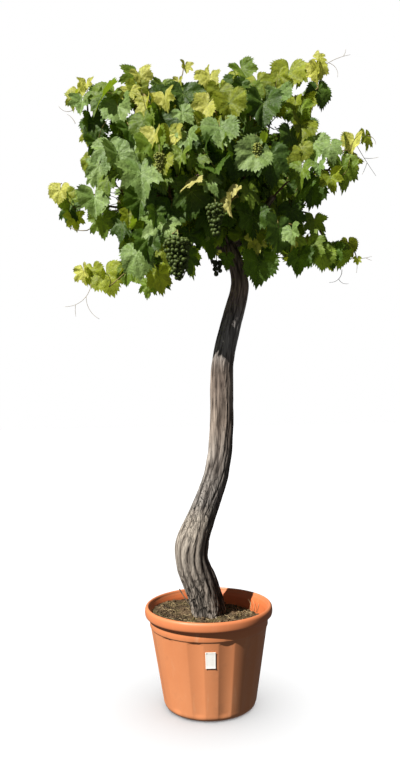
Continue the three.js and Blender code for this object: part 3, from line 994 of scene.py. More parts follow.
def leaf_form(random, young=False):
    """Chance shape of one blade."""
    if young:
        return {
            "pucker": random.uniform(0.05, 0.10), "wave": random.uniform(0.07, 0.17),
            "waves": random.integers(3, 6), "phase": random.uniform(0, 6.28),
            "cup": random.uniform(-0.15, 0.35), "droop": random.uniform(-0.1, 0.3),
            "fold": random.uniform(0.15, 0.9),
        }
    return {
        "pucker": random.uniform(0.04, 0.09), "wave": random.uniform(0.04, 0.14),
        "waves": random.integers(3, 7), "phase": random.uniform(0, 6.28),
        "cup": random.uniform(-0.06, 0.26), "droop": random.uniform(0.0, 0.40),
        "fold": random.uniform(-0.10, 0.75),
    }


def leaf_frame(normal, tip):
    normal = unit(normal)
    tip = unit(tip - normal * tip.dot(normal))
    return np.cross(tip, normal), tip, normal


def vein_strips():
    """Thin strips along the main veins and a few side veins, just above the blade."""
    strips = []
    for vein in VEINS[:3]:
        end = np.interp(vein, *zip(*LEAF_OUTLINES[1])) * 0.88
        for sign in ((1,) if vein == 0 else (1, -1)):
            strips.append(((0.0, 0.03), sign * vein, end, 0.010))
    for start, angle, length in ((0.30, 34, 0.36), (0.52, 30, 0.26)):
        for sign in (1, -1):
            strips.append(((0.0, start), sign * angle, length, 0.006))
    rows, faces, count = [], [], 0
    for (x0, y0), angle, length, width in strips:
        way = np.array([math.sin(math.radians(angle)), math.cos(math.radians(angle))])
        across = np.array([way[1], -way[0]])
        for share in (0, 0.5, 1.0):
            middle = np.array([x0, y0]) + way * length * share
            half = width * (1 - 0.75 * share)
            rows += [middle - across * half, middle + across * half]
        for k in (0, 2):
            faces.append((count + k, count + k + 1, count + k + 3, count + k + 2))
        count += 6
    return np.array(rows), np.array(faces)


VEIN_POINTS, VEIN_FACES = vein_strips()
# The pale kind's colour partly stands for painted sheen and light on sunlit leaves, and the dark kind's
# partly for painted shade.
LEAF_KINDS = {
    # shades of the blade (dark, light), colour of light through it, share let through
    "leaf_pale_sheen": (((98, 124, 62), (132, 154, 88)), (150, 180, 50), 0.25),
    "leaf_mid": (((82, 108, 28), (118, 138, 48)), (160, 190, 30), 0.38),
    "leaf_dark_shade": (((50, 74, 20), (76, 102, 32)), (110, 145, 20), 0.30),
    "leaf_olive": (((112, 126, 30), (150, 158, 52)), (190, 204, 36), 0.44),
    "leaf_young": (((156, 162, 58), (202, 200, 102)), (210, 214, 70), 0.42),
    "leaf_straw": (((172, 166, 94), (198, 192, 124)), (225, 215, 120), 0.35),
}
heaps = {kind: Heap() for kind in LEAF_KINDS}
pale_veins, green_veins, stalks, shoots, canes = Heap(), Heap(), Heap(), Heap(), Heap()
ALLOWED = (np.array(cad_low) - 0.022, np.array(cad_high) + 0.022)


def add_leaf(kind, stalk_end, normal, tip, length, random, young=False):
    """One leaf whose stalk meets it at stalk_end. Returns the stalk's end, moved as far as the blade had to
    move to stay in the box.
    """
    form = leaf_form(random, young)
    size = length / LEAF_LENGTH
    across, along, out = leaf_frame(normal, tip)
    narrow = random.uniform(0.84, 1.0)
    basis = np.stack([across * narrow, along, out])
    flat, faces = LEAVES[random.integers(len(LEAVES))]
    x, y = flat.T
    blade = np.stack([x, y, blade_height(x, y, form)], -1) * size @ basis + stalk_end
    low, high = blade.min(0), blade.max(0)
    push = np.maximum(ALLOWED[0] - low, 0) - np.maximum(high - ALLOWED[1], 0)
    heaps[kind].add(blade + push, faces)
    x, y = VEIN_POINTS.T
    lift = blade_height(x, y, form) + 0.006
    if kind not in ("leaf_straw", "leaf_young"):
        veins = pale_veins if kind == "leaf_pale_sheen" else green_veins
        veins.add(np.stack([x, y, lift], -1) * size @ basis + stalk_end + push, VEIN_FACES)
    return stalk_end + push


# ---- The crown's surface ----
MASSES = sorted(name for name in NODES if name.startswith(("crown_", "spray_")))
WOOD = sorted(name for name in NODES if name.startswith(("bough_", "trunk")))
# The crown's centre and half sizes, the same as in the part's source.
CROWN_CENTRE = np.array([0.050, 0.010, 2.034])
CROWN_HALF = np.array([0.628, 0.510, 0.478])


def in_crown(shares):
    """A place given in shares of the crown's half sizes from its centre."""
    return CROWN_CENTRE + np.array(shares) * CROWN_HALF


# Where the sky shows through or beside the leaves, as seen from the front: centre across and up,
# and half sizes, in shares of the crown.
SKY = [
    # inside, from the left
    (-0.785, 0.49, 0.022, 0.06), (-0.72, 0.48, 0.022, 0.06), (-0.635, 0.35, 0.024, 0.09),
    (-0.50, 0.49, 0.014, 0.04), (-0.385, 0.67, 0.012, 0.03), (-0.58, -0.10, 0.024, 0.05),
    (-0.62, -0.22, 0.034, 0.04), (-0.615, -0.31, 0.016, 0.05), (-0.72, -0.12, 0.03, 0.016),
    (-0.80, -0.42, 0.036, 0.11), (-0.16, 0.755, 0.025, 0.025), (0.17, -0.69, 0.02, 0.025),
    (0.40, 0.39, 0.024, 0.055), (0.44, 0.45, 0.022, 0.032), (0.36, 0.27, 0.014, 0.07),
    (0.395, 0.25, 0.014, 0.03), (0.54, 0.665, 0.032, 0.045), (0.335, 0.79, 0.028, 0.10),
    (0.595, 0.76, 0.014, 0.05), (0.57, 0.89, 0.022, 0.09), (0.77, 0.26, 0.018, 0.06),
    (0.56, 0.01, 0.014, 0.03), (0.58, 0.06, 0.012, 0.03), (0.67, 0.07, 0.02, 0.016),
    (0.553, -0.52, 0.018, 0.08), (0.54, -0.27, 0.01, 0.05),
    # bays in the outline, from the lower left upwards and over
    (-0.505, -1.03, 0.018, 0.05), (-0.57, -1.00, 0.045, 0.06), (-0.77, -0.65, 0.14, 0.07),
    (-0.62, -0.60, 0.035, 0.06), (-0.645, -0.535, 0.03, 0.04), (-0.86, -0.03, 0.035, 0.07),
    (-0.84, 0.16, 0.06, 0.07), (-0.815, -0.18, 0.03, 0.06), (-0.92, 0.38, 0.05, 0.14),
    (-0.86, 0.40, 0.02, 0.08), (-0.62, 0.82, 0.06, 0.08), (-0.31, 0.81, 0.055, 0.08),
    (-0.115, 0.80, 0.014, 0.08), (0.06, 0.82, 0.032, 0.06), (0.77, 0.74, 0.055, 0.24),
    (0.662, 0.39, 0.034, 0.11), (0.73, 0.36, 0.03, 0.06), (0.84, 0.42, 0.12, 0.10),
    (0.79, -0.25, 0.05, 0.06), (0.74, -0.31, 0.08, 0.045), (0.82, -0.46, 0.105, 0.105),
    (0.66, -0.345, 0.07, 0.03), (0.90, -0.48, 0.08, 0.08), (0.395, -0.84, 0.026, 0.10),
    (0.13, -0.95, 0.05, 0.08), (-0.05, -0.76, 0.03, 0.05), (-0.17, -0.955, 0.12, 0.085),
    (-0.30, -1.08, 0.14, 0.07), (0.33, -1.08, 0.06, 0.04), (0.20, 1.00, 0.14, 0.085),
    (0.45, 1.00, 0.09, 0.08), (-0.02, 0.95, 0.06, 0.08), (-0.30, 0.93, 0.05, 0.08),
    (-0.94, 0.62, 0.035, 0.12), (-0.87, 0.80, 0.05, 0.06), (-0.90, 0.25, 0.085, 0.16),
    (-0.84, -0.08, 0.06, 0.06), (-0.90, -0.60, 0.06, 0.10), (-0.95, -0.85, 0.07, 0.20),
    (-0.85, -1.08, 0.10, 0.06), (0.67, 1.08, 0.08, 0.06), (0.74, -0.54, 0.05, 0.08),
    (0.92, -0.65, 0.03, 0.06), (0.66, -0.95, 0.13, 0.085), (0.755, 0.56, 0.035, 0.07),
    (0.915, -0.07, 0.05, 0.055), (0.61, -0.36, 0.04, 0.035), (0.87, -0.87, 0.06, 0.06),
    (-0.13, 1.00, 0.12, 0.07), (-0.245, 0.90, 0.035, 0.10), (-0.45, 1.0, 0.12, 0.09),
]


def outer_samples(count, random):
    """Points spread over the crown's outside, with the way out there and the mass each is on."""
    trees = {name: node_tree(name) for name in MASSES + WOOD}
    boxes = {name: [np.array(corner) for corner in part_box(name)] for name in trees}
    corners, owners, areas = [], [], []
    for name in MASSES:
        mesh = NODES[name].data
        points = node_points(name)
        mesh.calc_loop_triangles()
        faces = np.array([t.vertices[:] for t in mesh.loop_triangles])
        a, b, c = (points[faces[:, k]] for k in range(3))
        corners.append(np.stack([a, b, c], 1))
        areas.append(np.linalg.norm(np.cross(b - a, c - a), axis=1) / 2)
        owners += [name] * len(faces)
    corners, areas = np.vstack(corners), np.concatenate(areas)
    picks = random.choice(len(areas), count, p=areas / areas.sum())
    u, v = random.random((2, count))
    fold = u + v > 1
    u, v = np.where(fold, 1 - u, u), np.where(fold, 1 - v, v)
    found = []
    for pick, s, t in zip(picks, u, v):
        a, b, c = corners[pick]
        point = a + s * (b - a) + t * (c - a)
        normal = unit(np.cross(b - a, c - a))
        if touches_other(point, owners[pick], trees, boxes):
            continue
        radial = unit((point - CROWN_CENTRE) / CROWN_HALF)
        found.append((point, unit(0.55 * normal + 0.45 * radial), owners[pick], normal))
    return found, trees


def touches_other(point, owner, trees, boxes):
    for name, tree in trees.items():
        low, high = boxes[name]
        if name == owner or (point < low - 0.006).any() or (point > high + 0.006).any():
            continue
        if tree.find_nearest(Vector(point), 0.005)[0] is not None:
            return True
    return False


class Spread:
    """Keeps points at least a given distance apart."""

    def __init__(self, gap):
        self.gap = gap
        self.cells = {}

    def take(self, point, gap=None):
        gap = gap or self.gap
        key = tuple((point // self.gap).astype(int))
        reach = int(math.ceil(gap / self.gap))
        for x in range(-reach, reach + 1):
            for y in range(-reach, reach + 1):
                for z in range(-reach, reach + 1):
                    for other in self.cells.get((key[0] + x, key[1] + y, key[2] + z), ()):
                        if np.linalg.norm(other - point) < gap:
                            return False
        self.cells.setdefault(key, []).append(point)
        return True


# Shares of each kind of leaf in each mass: pale, mid, dark, olive, young, straw. More pale leaves on the
# sunlit left and more dark ones on the right and low middle: painted light and shade.
KIND_ORDER = ("leaf_pale_sheen", "leaf_mid", "leaf_dark_shade", "leaf_olive", "leaf_young", "leaf_straw")
PLAIN = (0.30, 0.34, 0.22, 0.09, 0.05, 0.0)
DEALT = {
    "crown_top_left": (0.42, 0.30, 0.10, 0.12, 0.06, 0),
    "crown_hump_left": (0.20, 0.26, 0.14, 0.22, 0.18, 0),
    "crown_top_centre": (0.16, 0.26, 0.24, 0.14, 0.20, 0),
    "crown_top": (0.26, 0.24, 0.12, 0.28, 0.10, 0),
    "crown_top_right": (0.08, 0.22, 0.24, 0.40, 0.06, 0),
    "crown_upper_left": (0.42, 0.26, 0.26, 0.06, 0, 0),
    "crown_left": (0.36, 0.32, 0.24, 0.08, 0, 0),
    "crown_mid_left": (0.34, 0.32, 0.24, 0.06, 0.04, 0),
    "crown_low_left": (0.40, 0.36, 0.20, 0.04, 0, 0),
    "crown_low_mid": (0.14, 0.40, 0.40, 0.06, 0, 0),
    "crown_centre": (0.26, 0.30, 0.26, 0.08, 0.08, 0.02),
    "crown_mid_right": (0.12, 0.34, 0.42, 0.08, 0.03, 0.01),
    "crown_upper_right": (0.26, 0.22, 0.40, 0.10, 0.02, 0),
    "crown_right": (0.14, 0.30, 0.34, 0.20, 0.02, 0),
    "crown_right_low": (0.06, 0.36, 0.36, 0.22, 0, 0),
    "crown_low_right": (0.10, 0.32, 0.46, 0.10, 0.02, 0),
    "spray_top_left": (0, 0.10, 0.10, 0.36, 0.44, 0),
    "spray_left": (0, 0.30, 0.26, 0.24, 0.20, 0),
    "spray_low_left": (0.10, 0.40, 0.10, 0.20, 0.20, 0),
    "spray_top_right": (0, 0.14, 0.22, 0.34, 0.30, 0),
    "spray_right": (0.06, 0.26, 0.20, 0.26, 0.22, 0),
    "spray_low_right": (0, 0.26, 0.30, 0.30, 0.14, 0),
}


def deal(name, random, inner=False):
    shares = np.array(DEALT.get(name, PLAIN), float)
    if inner:
        # Inside the crown the dark share is raised and the pale one lowered: painted shade.
        shares = shares * (0.35, 1.0, 1.6, 0.6, 0.2, 0)
    return KIND_ORDER[random.choice(len(KIND_ORDER), p=shares / shares.sum())]


SUNWARD = np.array(sun_way[:])


def seen_shares(points):
    """Where the camera sees points, in shares across and up the crown."""
    eye = np.array(CAMERA["at"])
    depth = (points[:, 1] - eye[1]) / (CROWN_CENTRE[1] - eye[1])
    seen = eye + (points - eye) / depth[:, None]
    return ((seen - CROWN_CENTRE) / CROWN_HALF)[:, [0, 2]]


SKY_TABLE = np.array(SKY)
RIM_ANGLES = np.radians([0, 24, 48, 76, 100, 140, -140, -100, -76, -48, -24])
RIM_REACH = np.array([1.0, 0.78, 0.93, 0.64, 0.80, 0.64, 0.64, 0.80, 0.64, 0.93, 0.78])


def in_sky(stalk_end, across, along, length):
    """How many of a blade's rim points stand in the sky, and the way out of it."""
    size = length / LEAF_LENGTH
    rim = stalk_end + size * RIM_REACH[:, None] * (
        np.sin(RIM_ANGLES)[:, None] * across + np.cos(RIM_ANGLES)[:, None] * along
    )
    rim = np.vstack([rim, (rim + stalk_end) / 2, stalk_end])
    away = (seen_shares(rim)[:, None] - SKY_TABLE[None, :, :2]) / SKY_TABLE[None, :, 2:]
    inside = np.hypot(away[..., 0], away[..., 1]) < 1
    if not inside.any():
        return 0, np.zeros(3)
    gaps = SKY_TABLE[inside.any(0)]
    middle = seen_shares((stalk_end + BLADE_MIDDLE * size * along)[None])[0]
    way = (middle - gaps[:, :2]).sum(0)
    return int(inside.any(1).sum()), unit(np.array([way[0] + 1e-6, 0, way[1]]))


def place_leaf(sites, name, point, out, depth, length, random, inner=False):
    """Settles one hanging leaf, clear of the sky: which way it faces, and where its stalk meets it."""
    level = unit(np.array([out[0], out[1] - 0.45 * (out[1] < 0.3), 1e-6]))
    centre = point - out * depth
    for _ in range(9):
        normal = level + UP * (0.10 + 0.30 * max(out[2], 0)) + 0.25 * SUNWARD
        normal = unit(normal + random.normal(size=3) * (0.50 if inner else 0.34))
        hang = -UP + 0.30 * level + random.normal(size=3) * 0.36
        if random.random() < 0.14:
            hang = random.normal(size=3)
        across, along, normal = leaf_frame(normal, hang)
        stalk_end = centre - along * BLADE_MIDDLE * length / LEAF_LENGTH
        count, way = in_sky(stalk_end, across, along, length)
        if count == 0:
            sites.append((name, stalk_end, normal, along, length, out, inner))
            return
        centre = centre + way * 0.011 - out * 0.003
        length *= 0.95


def hides_shown(centre, length, taken, wide=1.15):
    """True where a chance leaf would stand in front of one that was placed."""
    eye = np.array(CAMERA["at"])
    for other, size in taken:
        share = (other[1] - eye[1]) / (centre[1] - eye[1])
        seen = eye + (centre - eye) * share
        near = math.hypot(seen[0] - other[0], seen[2] - other[2]) < wide * (0.36 * size + 0.30 * length)
        if near and centre[1] < other[1] + 0.025:
            return True
    return False


TAKEN = []  # centre and length of each leaf that was placed


def crown_sites(samples, random):
    """Where the leaves go: those placed one by one, a close outer layer and a looser one inside."""
    sites = shown_sites(TAKEN)
    order = random.permutation(len(samples))
    outer, inner = Spread(0.070), Spread(0.105)
    for k in order:
        point, out, name, normal = samples[k]
        spray = name.startswith("spray")
        thick = thickness(name, point, normal)
        if outer.take(point, 0.058 if spray else None):
            small = random.random() < 0.24
            length = random.uniform(0.062, 0.098) if small or spray else random.uniform(0.098, 0.140)
            depth = min(random.uniform(0.030, 0.070), (0.7 if spray else 0.45) * thick)
            if not hides_shown(point - out * depth, length, TAKEN, 1.6 if spray else 1.15):
                place_leaf(sites, name, point, out, depth, length, random)
        elif not spray and inner.take(point):
            depth = min(random.uniform(0.085, 0.15), 0.5 * thick)
            place_leaf(sites, name, point, out, depth, random.uniform(0.11, 0.15), random, True)
    return sites


def thickness(name, point, normal):
    start = Vector(point - normal * 0.002)
    hit = TREES[name].ray_cast(start, Vector(-normal), 1.0)
    return hit[3] if hit[3] is not None else 0.05


# The leaves that show best from the front, placed one by one: across and up, in shares of the
# crown as seen at its front; how far back; length in mm; degrees that the tip swings to the
# right, that the blade turns to the right, and that it looks up; and the kind, whose dark and pale shades
# partly stand for painted shade and painted light.
FRONT, FRONT_LIFT = -0.30, 0.007
SHOWN_SIZE = 0.93
P, M, D, O, Y, S = KIND_ORDER
SHOWN = [
    # top left and its hump
    (-0.55, 0.33, -0.06, 118, -10, 10, 40, M), (-0.52, 0.20, -0.12, 128, 12, -20, 12, P),
    (-0.62, 0.27, -0.02, 112, -22, 0, 4, D), (-0.735, 0.33, 0.0, 86, 20, -30, 0, Y),
    (-0.715, 0.24, -0.06, 92, -5, -15, 12, P), (-0.755, 0.28, 0.01, 80, -25, -45, 0, O),
    (-0.43, 0.42, -0.06, 112, -15, 0, 8, M), (-0.37, 0.42, -0.08, 96, 25, 10, 10, Y),
    (-0.455, 0.325, -0.12, 84, 8, 0, 20, Y), (-0.365, 0.22, -0.20, 98, -12, -50, 5, Y),
    (-0.315, 0.27, -0.20, 80, 5, 30, 10, Y), (-0.262, 0.27, -0.20, 88, 10, -20, 10, Y),
    (-0.28, 0.39, -0.10, 84, 0, 15, 10, M), (-0.152, 0.485, -0.06, 66, 0, 30, 10, Y),
    (-0.172, 0.415, -0.08, 56, -20, -30, 0, Y), (-0.16, 0.28, -0.16, 140, 5, 10, 5, D),
    (-0.155, 0.165, -0.27, 92, 40, 0, 16, P), (-0.055, 0.44, -0.06, 78, 10, -30, 10, Y),
    (-0.005, 0.43, -0.12, 104, -5, -12, 12, Y), (-0.05, 0.20, -0.22, 120, -30, -10, 10, Y),
    (-0.10, 0.13, -0.20, 110, -20, 35, 0, D), (-0.46, 0.06, -0.18, 132, 30, 10, 5, D),
    (-0.38, 0.10, -0.22, 118, 5, -30, 5, M), (-0.29, 0.10, -0.20, 130, 0, 30, 0, D),
    (-0.41, 0.35, -0.10, 92, 10, 20, 5, O), (-0.22, 0.36, -0.10, 96, -14, 12, 10, M),
    # upper left and left
    (-0.655, 0.09, -0.04, 128, 10, -20, 0, D), (-0.682, 0.035, 0.0, 92, -12, -40, 0, O),
    (-0.65, -0.04, -0.04, 120, 20, 25, 0, D), (-0.585, -0.10, -0.16, 148, -4, -6, 18, P),
    (-0.515, -0.15, -0.18, 140, 14, 20, 14, P), (-0.70, -0.165, -0.04, 96, -20, -30, 0, O),
    (-0.65, -0.235, -0.10, 118, -12, -10, 12, P), (-0.565, -0.33, -0.14, 104, 0, -30, 14, M),
    (-0.66, -0.45, -0.10, 134, 4, 4, 12, P), (-0.862, -0.385, -0.07, 86, -12, -20, 10, Y),
    (-0.785, -0.455, 0.0, 106, 4, 14, 0, M), (-0.80, -0.525, 0.0, 100, -14, -20, 0, D),
    (-0.742, -0.60, 0.0, 84, 8, 0, 5, O), (-0.825, -0.42, 0.0, 86, 10, 25, 0, O),
    # the middle
    (-0.332, -0.01, -0.275, 96, -16, -35, 10, Y), (-0.24, 0.015, -0.26, 84, 5, 15, 5, O),
    (-0.208, 0.005, -0.27, 86, 4, -40, 5, Y), (-0.14, -0.02, -0.29, 98, 10, -25, 16, P),
    (-0.03, 0.02, -0.24, 140, -8, 10, 10, O), (0.035, 0.03, -0.27, 144, 6, 0, 14, P),
    (-0.40, -0.30, -0.28, 166, 6, 0, 14, P), (-0.09, -0.17, -0.295, 110, 14, -12, 18, M),
    (-0.19, -0.15, -0.30, 100, -20, -25, 16, M), (-0.135, -0.335, -0.29, 96, -55, -44, 39, S),
    (-0.13, -0.44, -0.26, 158, 0, 10, 0, D), (-0.24, -0.55, -0.24, 138, 0, 0, 8, D),
    (-0.30, -0.66, -0.26, 146, -4, 8, 22, P), (-0.02, -0.35, -0.29, 86, 30, -10, 10, P),
    (0.09, 0.21, -0.24, 128, 10, 0, 10, O), (0.12, -0.18, -0.25, 140, 0, 32, -4, D),
    (0.27, 0.19, -0.16, 150, -6, 0, 4, D), (0.105, -0.40, -0.295, 60, -40, -35, 24, S),
    (0.082, -0.50, -0.29, 82, -6, -75, 5, S), (0.19, -0.43, -0.24, 110, 8, 30, 10, M),
    (0.035, -0.22, -0.25, 106, 0, 24, 0, D), (-0.275, -0.19, -0.305, 84, 10, -30, 16, O),
    (-0.285, -0.82, -0.27, 74, 0, -30, 16, O), (0.43, 0.20, -0.10, 78, 0, -25, 15, O),
    (0.49, -0.14, -0.14, 84, 10, -20, 10, O), (-0.33, -0.57, -0.28, 88, 0, 35, -4, D),
    (0.57, -0.22, -0.17, 70, 0, -25, 12, P), (0.27, 0.10, -0.14, 84, 0, 30, 0, D),
    (-0.28, -0.30, -0.295, 76, 10, -20, 14, M), (-0.145, -0.73, -0.18, 84, 0, 25, 0, D),
    (0.15, -0.48, -0.22, 106, -12, 0, 0, D), (0.02, -0.09, -0.25, 108, -10, -30, 10, M),
    # the top and the top right
    (0.172, 0.475, -0.04, 124, 24, 0, 16, M), (0.255, 0.38, -0.10, 136, 12, -15, 10, O),
    (0.11, 0.36, -0.10, 116, -24, 0, 10, D), (0.41, 0.42, -0.05, 138, -10, -10, 8, O),
    (0.345, 0.425, -0.07, 96, 6, -45, 5, O), (0.37, 0.27, -0.14, 104, 4, -10, 12, P),
    (0.594, 0.535, 0.02, 60, 70, -10, 20, Y), (0.602, 0.455, 0.0, 92, 10, 20, 5, Y),
    (0.572, 0.44, 0.02, 92, -8, -45, 0, Y), (0.592, 0.300, 0.0, 116, 14, 15, 0, D),
    (0.506, 0.22, -0.02, 88, 6, -20, 10, O), (0.46, 0.14, -0.06, 118, -10, -20, 0, M),
    (0.525, 0.075, -0.02, 84, 8, 35, 0, D), (0.33, 0.33, -0.06, 110, -8, -10, 5, O),
    (0.475, 0.40, 0.0, 84, 8, 40, 0, O),
    (0.20, 0.27, -0.14, 110, 14, -10, 5, M), (0.03, 0.30, -0.14, 104, -10, 0, 5, O),
    # right
    (0.41, -0.015, -0.16, 130, 8, 45, -4, D), (0.545, -0.10, -0.12, 136, -4, -10, 16, P),
    (0.638, -0.10, -0.17, 92, 4, -20, 14, P), (0.31, -0.19, -0.24, 156, 4, 0, 0, D),
    (0.757, -0.075, -0.03, 84, -14, -30, 10, Y), (0.83, -0.045, 0.0, 84, 8, 40, 5, O),
    (0.708, -0.08, -0.02, 86, -6, 60, 0, D), (0.70, -0.275, -0.05, 132, 8, 10, 0, M),
    (0.632, -0.335, -0.12, 92, 10, -20, 10, O), (0.533, -0.38, -0.08, 142, -10, 0, 0, D),
    (0.47, -0.27, -0.18, 112, -12, -30, 12, M), (0.42, -0.17, -0.16, 112, 20, 10, 4, O),
    # low left
    (-0.63, -0.62, -0.08, 118, 4, -10, 0, M), (-0.49, -0.56, -0.16, 86, 0, 10, 5, O),
    (-0.525, -0.66, -0.10, 112, -10, -20, 0, D), (-0.44, -0.86, -0.23, 154, 6, -4, 10, P),
    (-0.722, -0.975, -0.03, 82, 8, -42, 0, Y), (-0.672, -0.985, -0.04, 102, 2, -32, 0, O),
    (-0.595, -1.005, -0.06, 130, 16, -15, 10, O), (-0.485, -0.96, -0.06, 84, -6, 50, 0, O),
    (-0.372, -0.77, -0.25, 116, 0, 0, 6, D), (-0.675, 0.15, -0.02, 92, -6, 30, 0, D),
    (-0.695, 0.385, 0.0, 64, 0, 0, 10, Y), (-0.612, 0.075, -0.02, 66, 0, 0, 0, M),
    (-0.685, -0.31, -0.05, 68, 0, -15, 5, P),
    (-0.305, -1.03, -0.16, 122, 6, -10, 0, O), (-0.375, -1.08, -0.12, 76, -8, 0, 5, M),
    (-0.13, -0.90, -0.18, 116, 22, 20, 0, D), (-0.49, -1.02, -0.08, 92, -16, -20, 0, M),
    (-0.41, -0.48, -0.20, 120, -10, 0, 0, D), (-0.04, -0.60, -0.20, 130, 6, 0, 0, D),
    # low right
    (0.34, -0.715, -0.24, 150, 0, 38, 0, D), (0.425, -0.71, -0.25, 88, 6, -45, 8, P),
    (0.20, -0.80, -0.18, 98, 6, 0, 8, Y), (0.215, -0.965, -0.16, 146, 4, 15, 0, D),
    (0.539, -0.655, -0.03, 104, -4, 0, 4, M), (0.43, -0.92, -0.10, 122, -6, 0, 0, D),
    (0.50, -0.835, -0.08, 112, 4, 10, 8, M), (0.578, -0.875, -0.06, 112, 0, 10, 2, M),
    (0.628, -0.85, -0.03, 108, -4, -20, 0, D), (0.655, -0.865, -0.02, 112, 4, 30, 0, M),
    (0.715, -0.785, 0.0, 86, 10, 20, 0, O), (0.762, -0.925, 0.0, 36, 0, 0, 0, O),
    (0.055, -0.90, -0.12, 70, 0, 0, 0, D),
    (0.20, -0.62, -0.20, 126, 0, 0, 0, D), (0.43, -0.58, -0.12, 120, 10, 0, 0, D),
]


def seen_at(across, up, y):
    """The place at depth y that the camera sees at those shares of the crown's front."""
    eye = np.array(CAMERA["at"])
    front = in_crown((across, 0, up)) + np.array([0, 0, FRONT_LIFT])
    front[1] = FRONT
    share = (y - eye[1]) / (FRONT - eye[1])
    return eye + (front - eye) * share, share


def shown_sites(taken):
    """Sites of the leaves placed one by one. Their places are taken for the chance ones."""
    sites = []
    for across, up, back, length, swing, turned, rise, kind in SHOWN:
        centre, share = seen_at(across, up, back)
        a, b, c = np.radians([swing, turned, rise + 6])
        normal = np.array([math.sin(b) * math.cos(c), -math.cos(b) * math.cos(c), math.sin(c)])
        hang = np.array([math.sin(a), -0.12, -math.cos(a)])
        length = SHOWN_SIZE * length * share / 1000
        across_blade, along, normal = leaf_frame(normal, hang)
        best = None
        for _ in range(7):
            stalk_end = centre - along * BLADE_MIDDLE * length / LEAF_LENGTH
            count, way = in_sky(stalk_end, across_blade, along, length)
            if best is None or count < best[0]:
                best = (count, stalk_end, centre, length)
            if count == 0:
                break
            centre = centre + way * 0.003
            length *= 0.98
        _, stalk_end, centre, length = best
        sites.append((kind, stalk_end, normal, along, length, unit(np.array([0, -1, 0.2])), False))
        taken.append((centre, length))
    return sites


# ---- Growth ----
def crossings(start, end):
    """How many of a few places on a straight line stand in the sky."""
    line = start + (end - start) * np.linspace(0.1, 0.9, 7)[:, None]
    away = (seen_shares(line)[:, None] - SKY_TABLE[None, :, :2]) / SKY_TABLE[None, :, 2:]
    return int((np.hypot(away[..., 0], away[..., 1]) < 1).any(1).sum())


class Vine:
    """Wood that grows from the boughs towards the leaves, one shoot at a time."""

    def __init__(self, lines, head):
        self.points, self.parents, self.paths, self.chains = [], [], [], []
        for line in lines:
            last, path = -1, 0.0
            for point in line[4::5]:
                path = float(np.linalg.norm(point - head))
                self.points.append(point)
                self.parents.append(last)
                self.paths.append(path)
                last = len(self.points) - 1
        self.first = len(self.points)

    def grow(self, target, random):
        """Joins a target to the wood by a shoot that starts along its parent and arches over."""
        known = np.array(self.points)
        reach = np.linalg.norm(known - target, axis=1)
        cost = reach + 0.22 * np.array(self.paths)
        near = np.argsort(cost)[:12]
        start = int(min(near, key=lambda k: cost[k] + 0.25 * crossings(known[k], target)))
        gap = reach[start]
        begin = known[start]
        back = self.parents[start]
        along = unit(begin - known[back]) if back >= 0 else unit(target - begin)
        lead = min(gap * 0.35, 0.030)
        bend = begin + along * lead + (target - begin) * 0.3 + UP * lead * 0.3
        bend = bend + random.normal(size=3) * min(gap * 0.07, 0.008)
        steps = max(2, int(math.ceil(gap / 0.032)))
        chain, last = [start], start
        for t in np.linspace(0, 1, steps + 1)[1:]:
            point = (1 - t) ** 2 * begin + 2 * t * (1 - t) * bend + t**2 * target
            self.points.append(point)
            self.parents.append(last)
            self.paths.append(self.paths[last] + gap / steps)
            last = len(self.points) - 1
            chain.append(last)
        self.chains.append(chain)
        return last

    def weights(self):
        """How many shoot ends each point carries."""
        load = np.zeros(len(self.points))
        for chain in self.chains:
            load[chain[-1]] += 1
        for k in range(len(self.points) - 1, -1, -1):
            if self.parents[k] >= 0:
                load[self.parents[k]] += load[k]
        return load

    def draw(self):
        load = self.weights()
        points = np.array(self.points)
        for chain in self.chains:
            size = 0.0009 + 0.00125 * np.sqrt(load[chain[1:]])
            radii = np.append(size[0], size)
            thick = radii[0] > 0.0032
            heap = canes if thick else shoots
            heap.add(*tube(points[chain], radii, 7 if thick else 5))


def grow_stalk(start, end, out, random, thick=0.0011):
    """A leaf stalk: leaves its shoot, rises and bends over to the blade."""
    reach = float(np.linalg.norm(end - start))
    bend = (start + end) / 2 + (UP * 0.22 + out * 0.10) * reach + random.normal(size=3) * 0.05 * reach
    line = [(1 - t) ** 2 * start + 2 * t * (1 - t) * bend + t**2 * end for t in np.linspace(0, 1, 6)]
    radii = np.linspace(thick * 1.15, thick * 0.9, 6)
    stalks.add(*tube(line, radii, 5))


def dress(sites, vine, random):
    """Grows shoots out to the sites, nearest the head first, and hangs the leaves on them."""
    order = sorted(range(len(sites)), key=lambda k: float(np.linalg.norm(sites[k][1] - HEAD)))
    for k in order:
        name, stalk_end, normal, along, length, out, inner = sites[k]
        kind = name if name in LEAF_KINDS else deal(name, random, inner)
        young = kind == "leaf_young"
        if young and name not in LEAF_KINDS:
            length = length * random.uniform(0.55, 0.75)
        end = add_leaf(kind, stalk_end, normal, along, length, random, young)
        stalk = random.uniform(0.45, 0.75) * length
        node = end - stalk * unit(0.55 * along + 0.55 * out + 0.25 * normal + random.normal(size=3) * 0.2)
        vine.grow(node, random)
        grow_stalk(node, end, out, random)


# ---- Young tips ----
TIPS = {
    "crown_top_left": 2, "crown_hump_left": 5, "crown_top_centre": 6, "crown_top": 4, "crown_top_right": 4,
    "spray_top_left": 4, "spray_left": 2, "spray_low_left": 3, "spray_top_right": 4, "spray_right": 4,
    "spray_low_right": 3, "crown_centre": 2, "crown_mid_left": 1, "crown_mid_right": 1, "crown_back": 4,
    "crown_back_left": 4, "crown_back_right": 4, "crown_upper_right": 1, "crown_right": 1,
    "crown_low_mid": 1, "crown_low_right": 1,
}


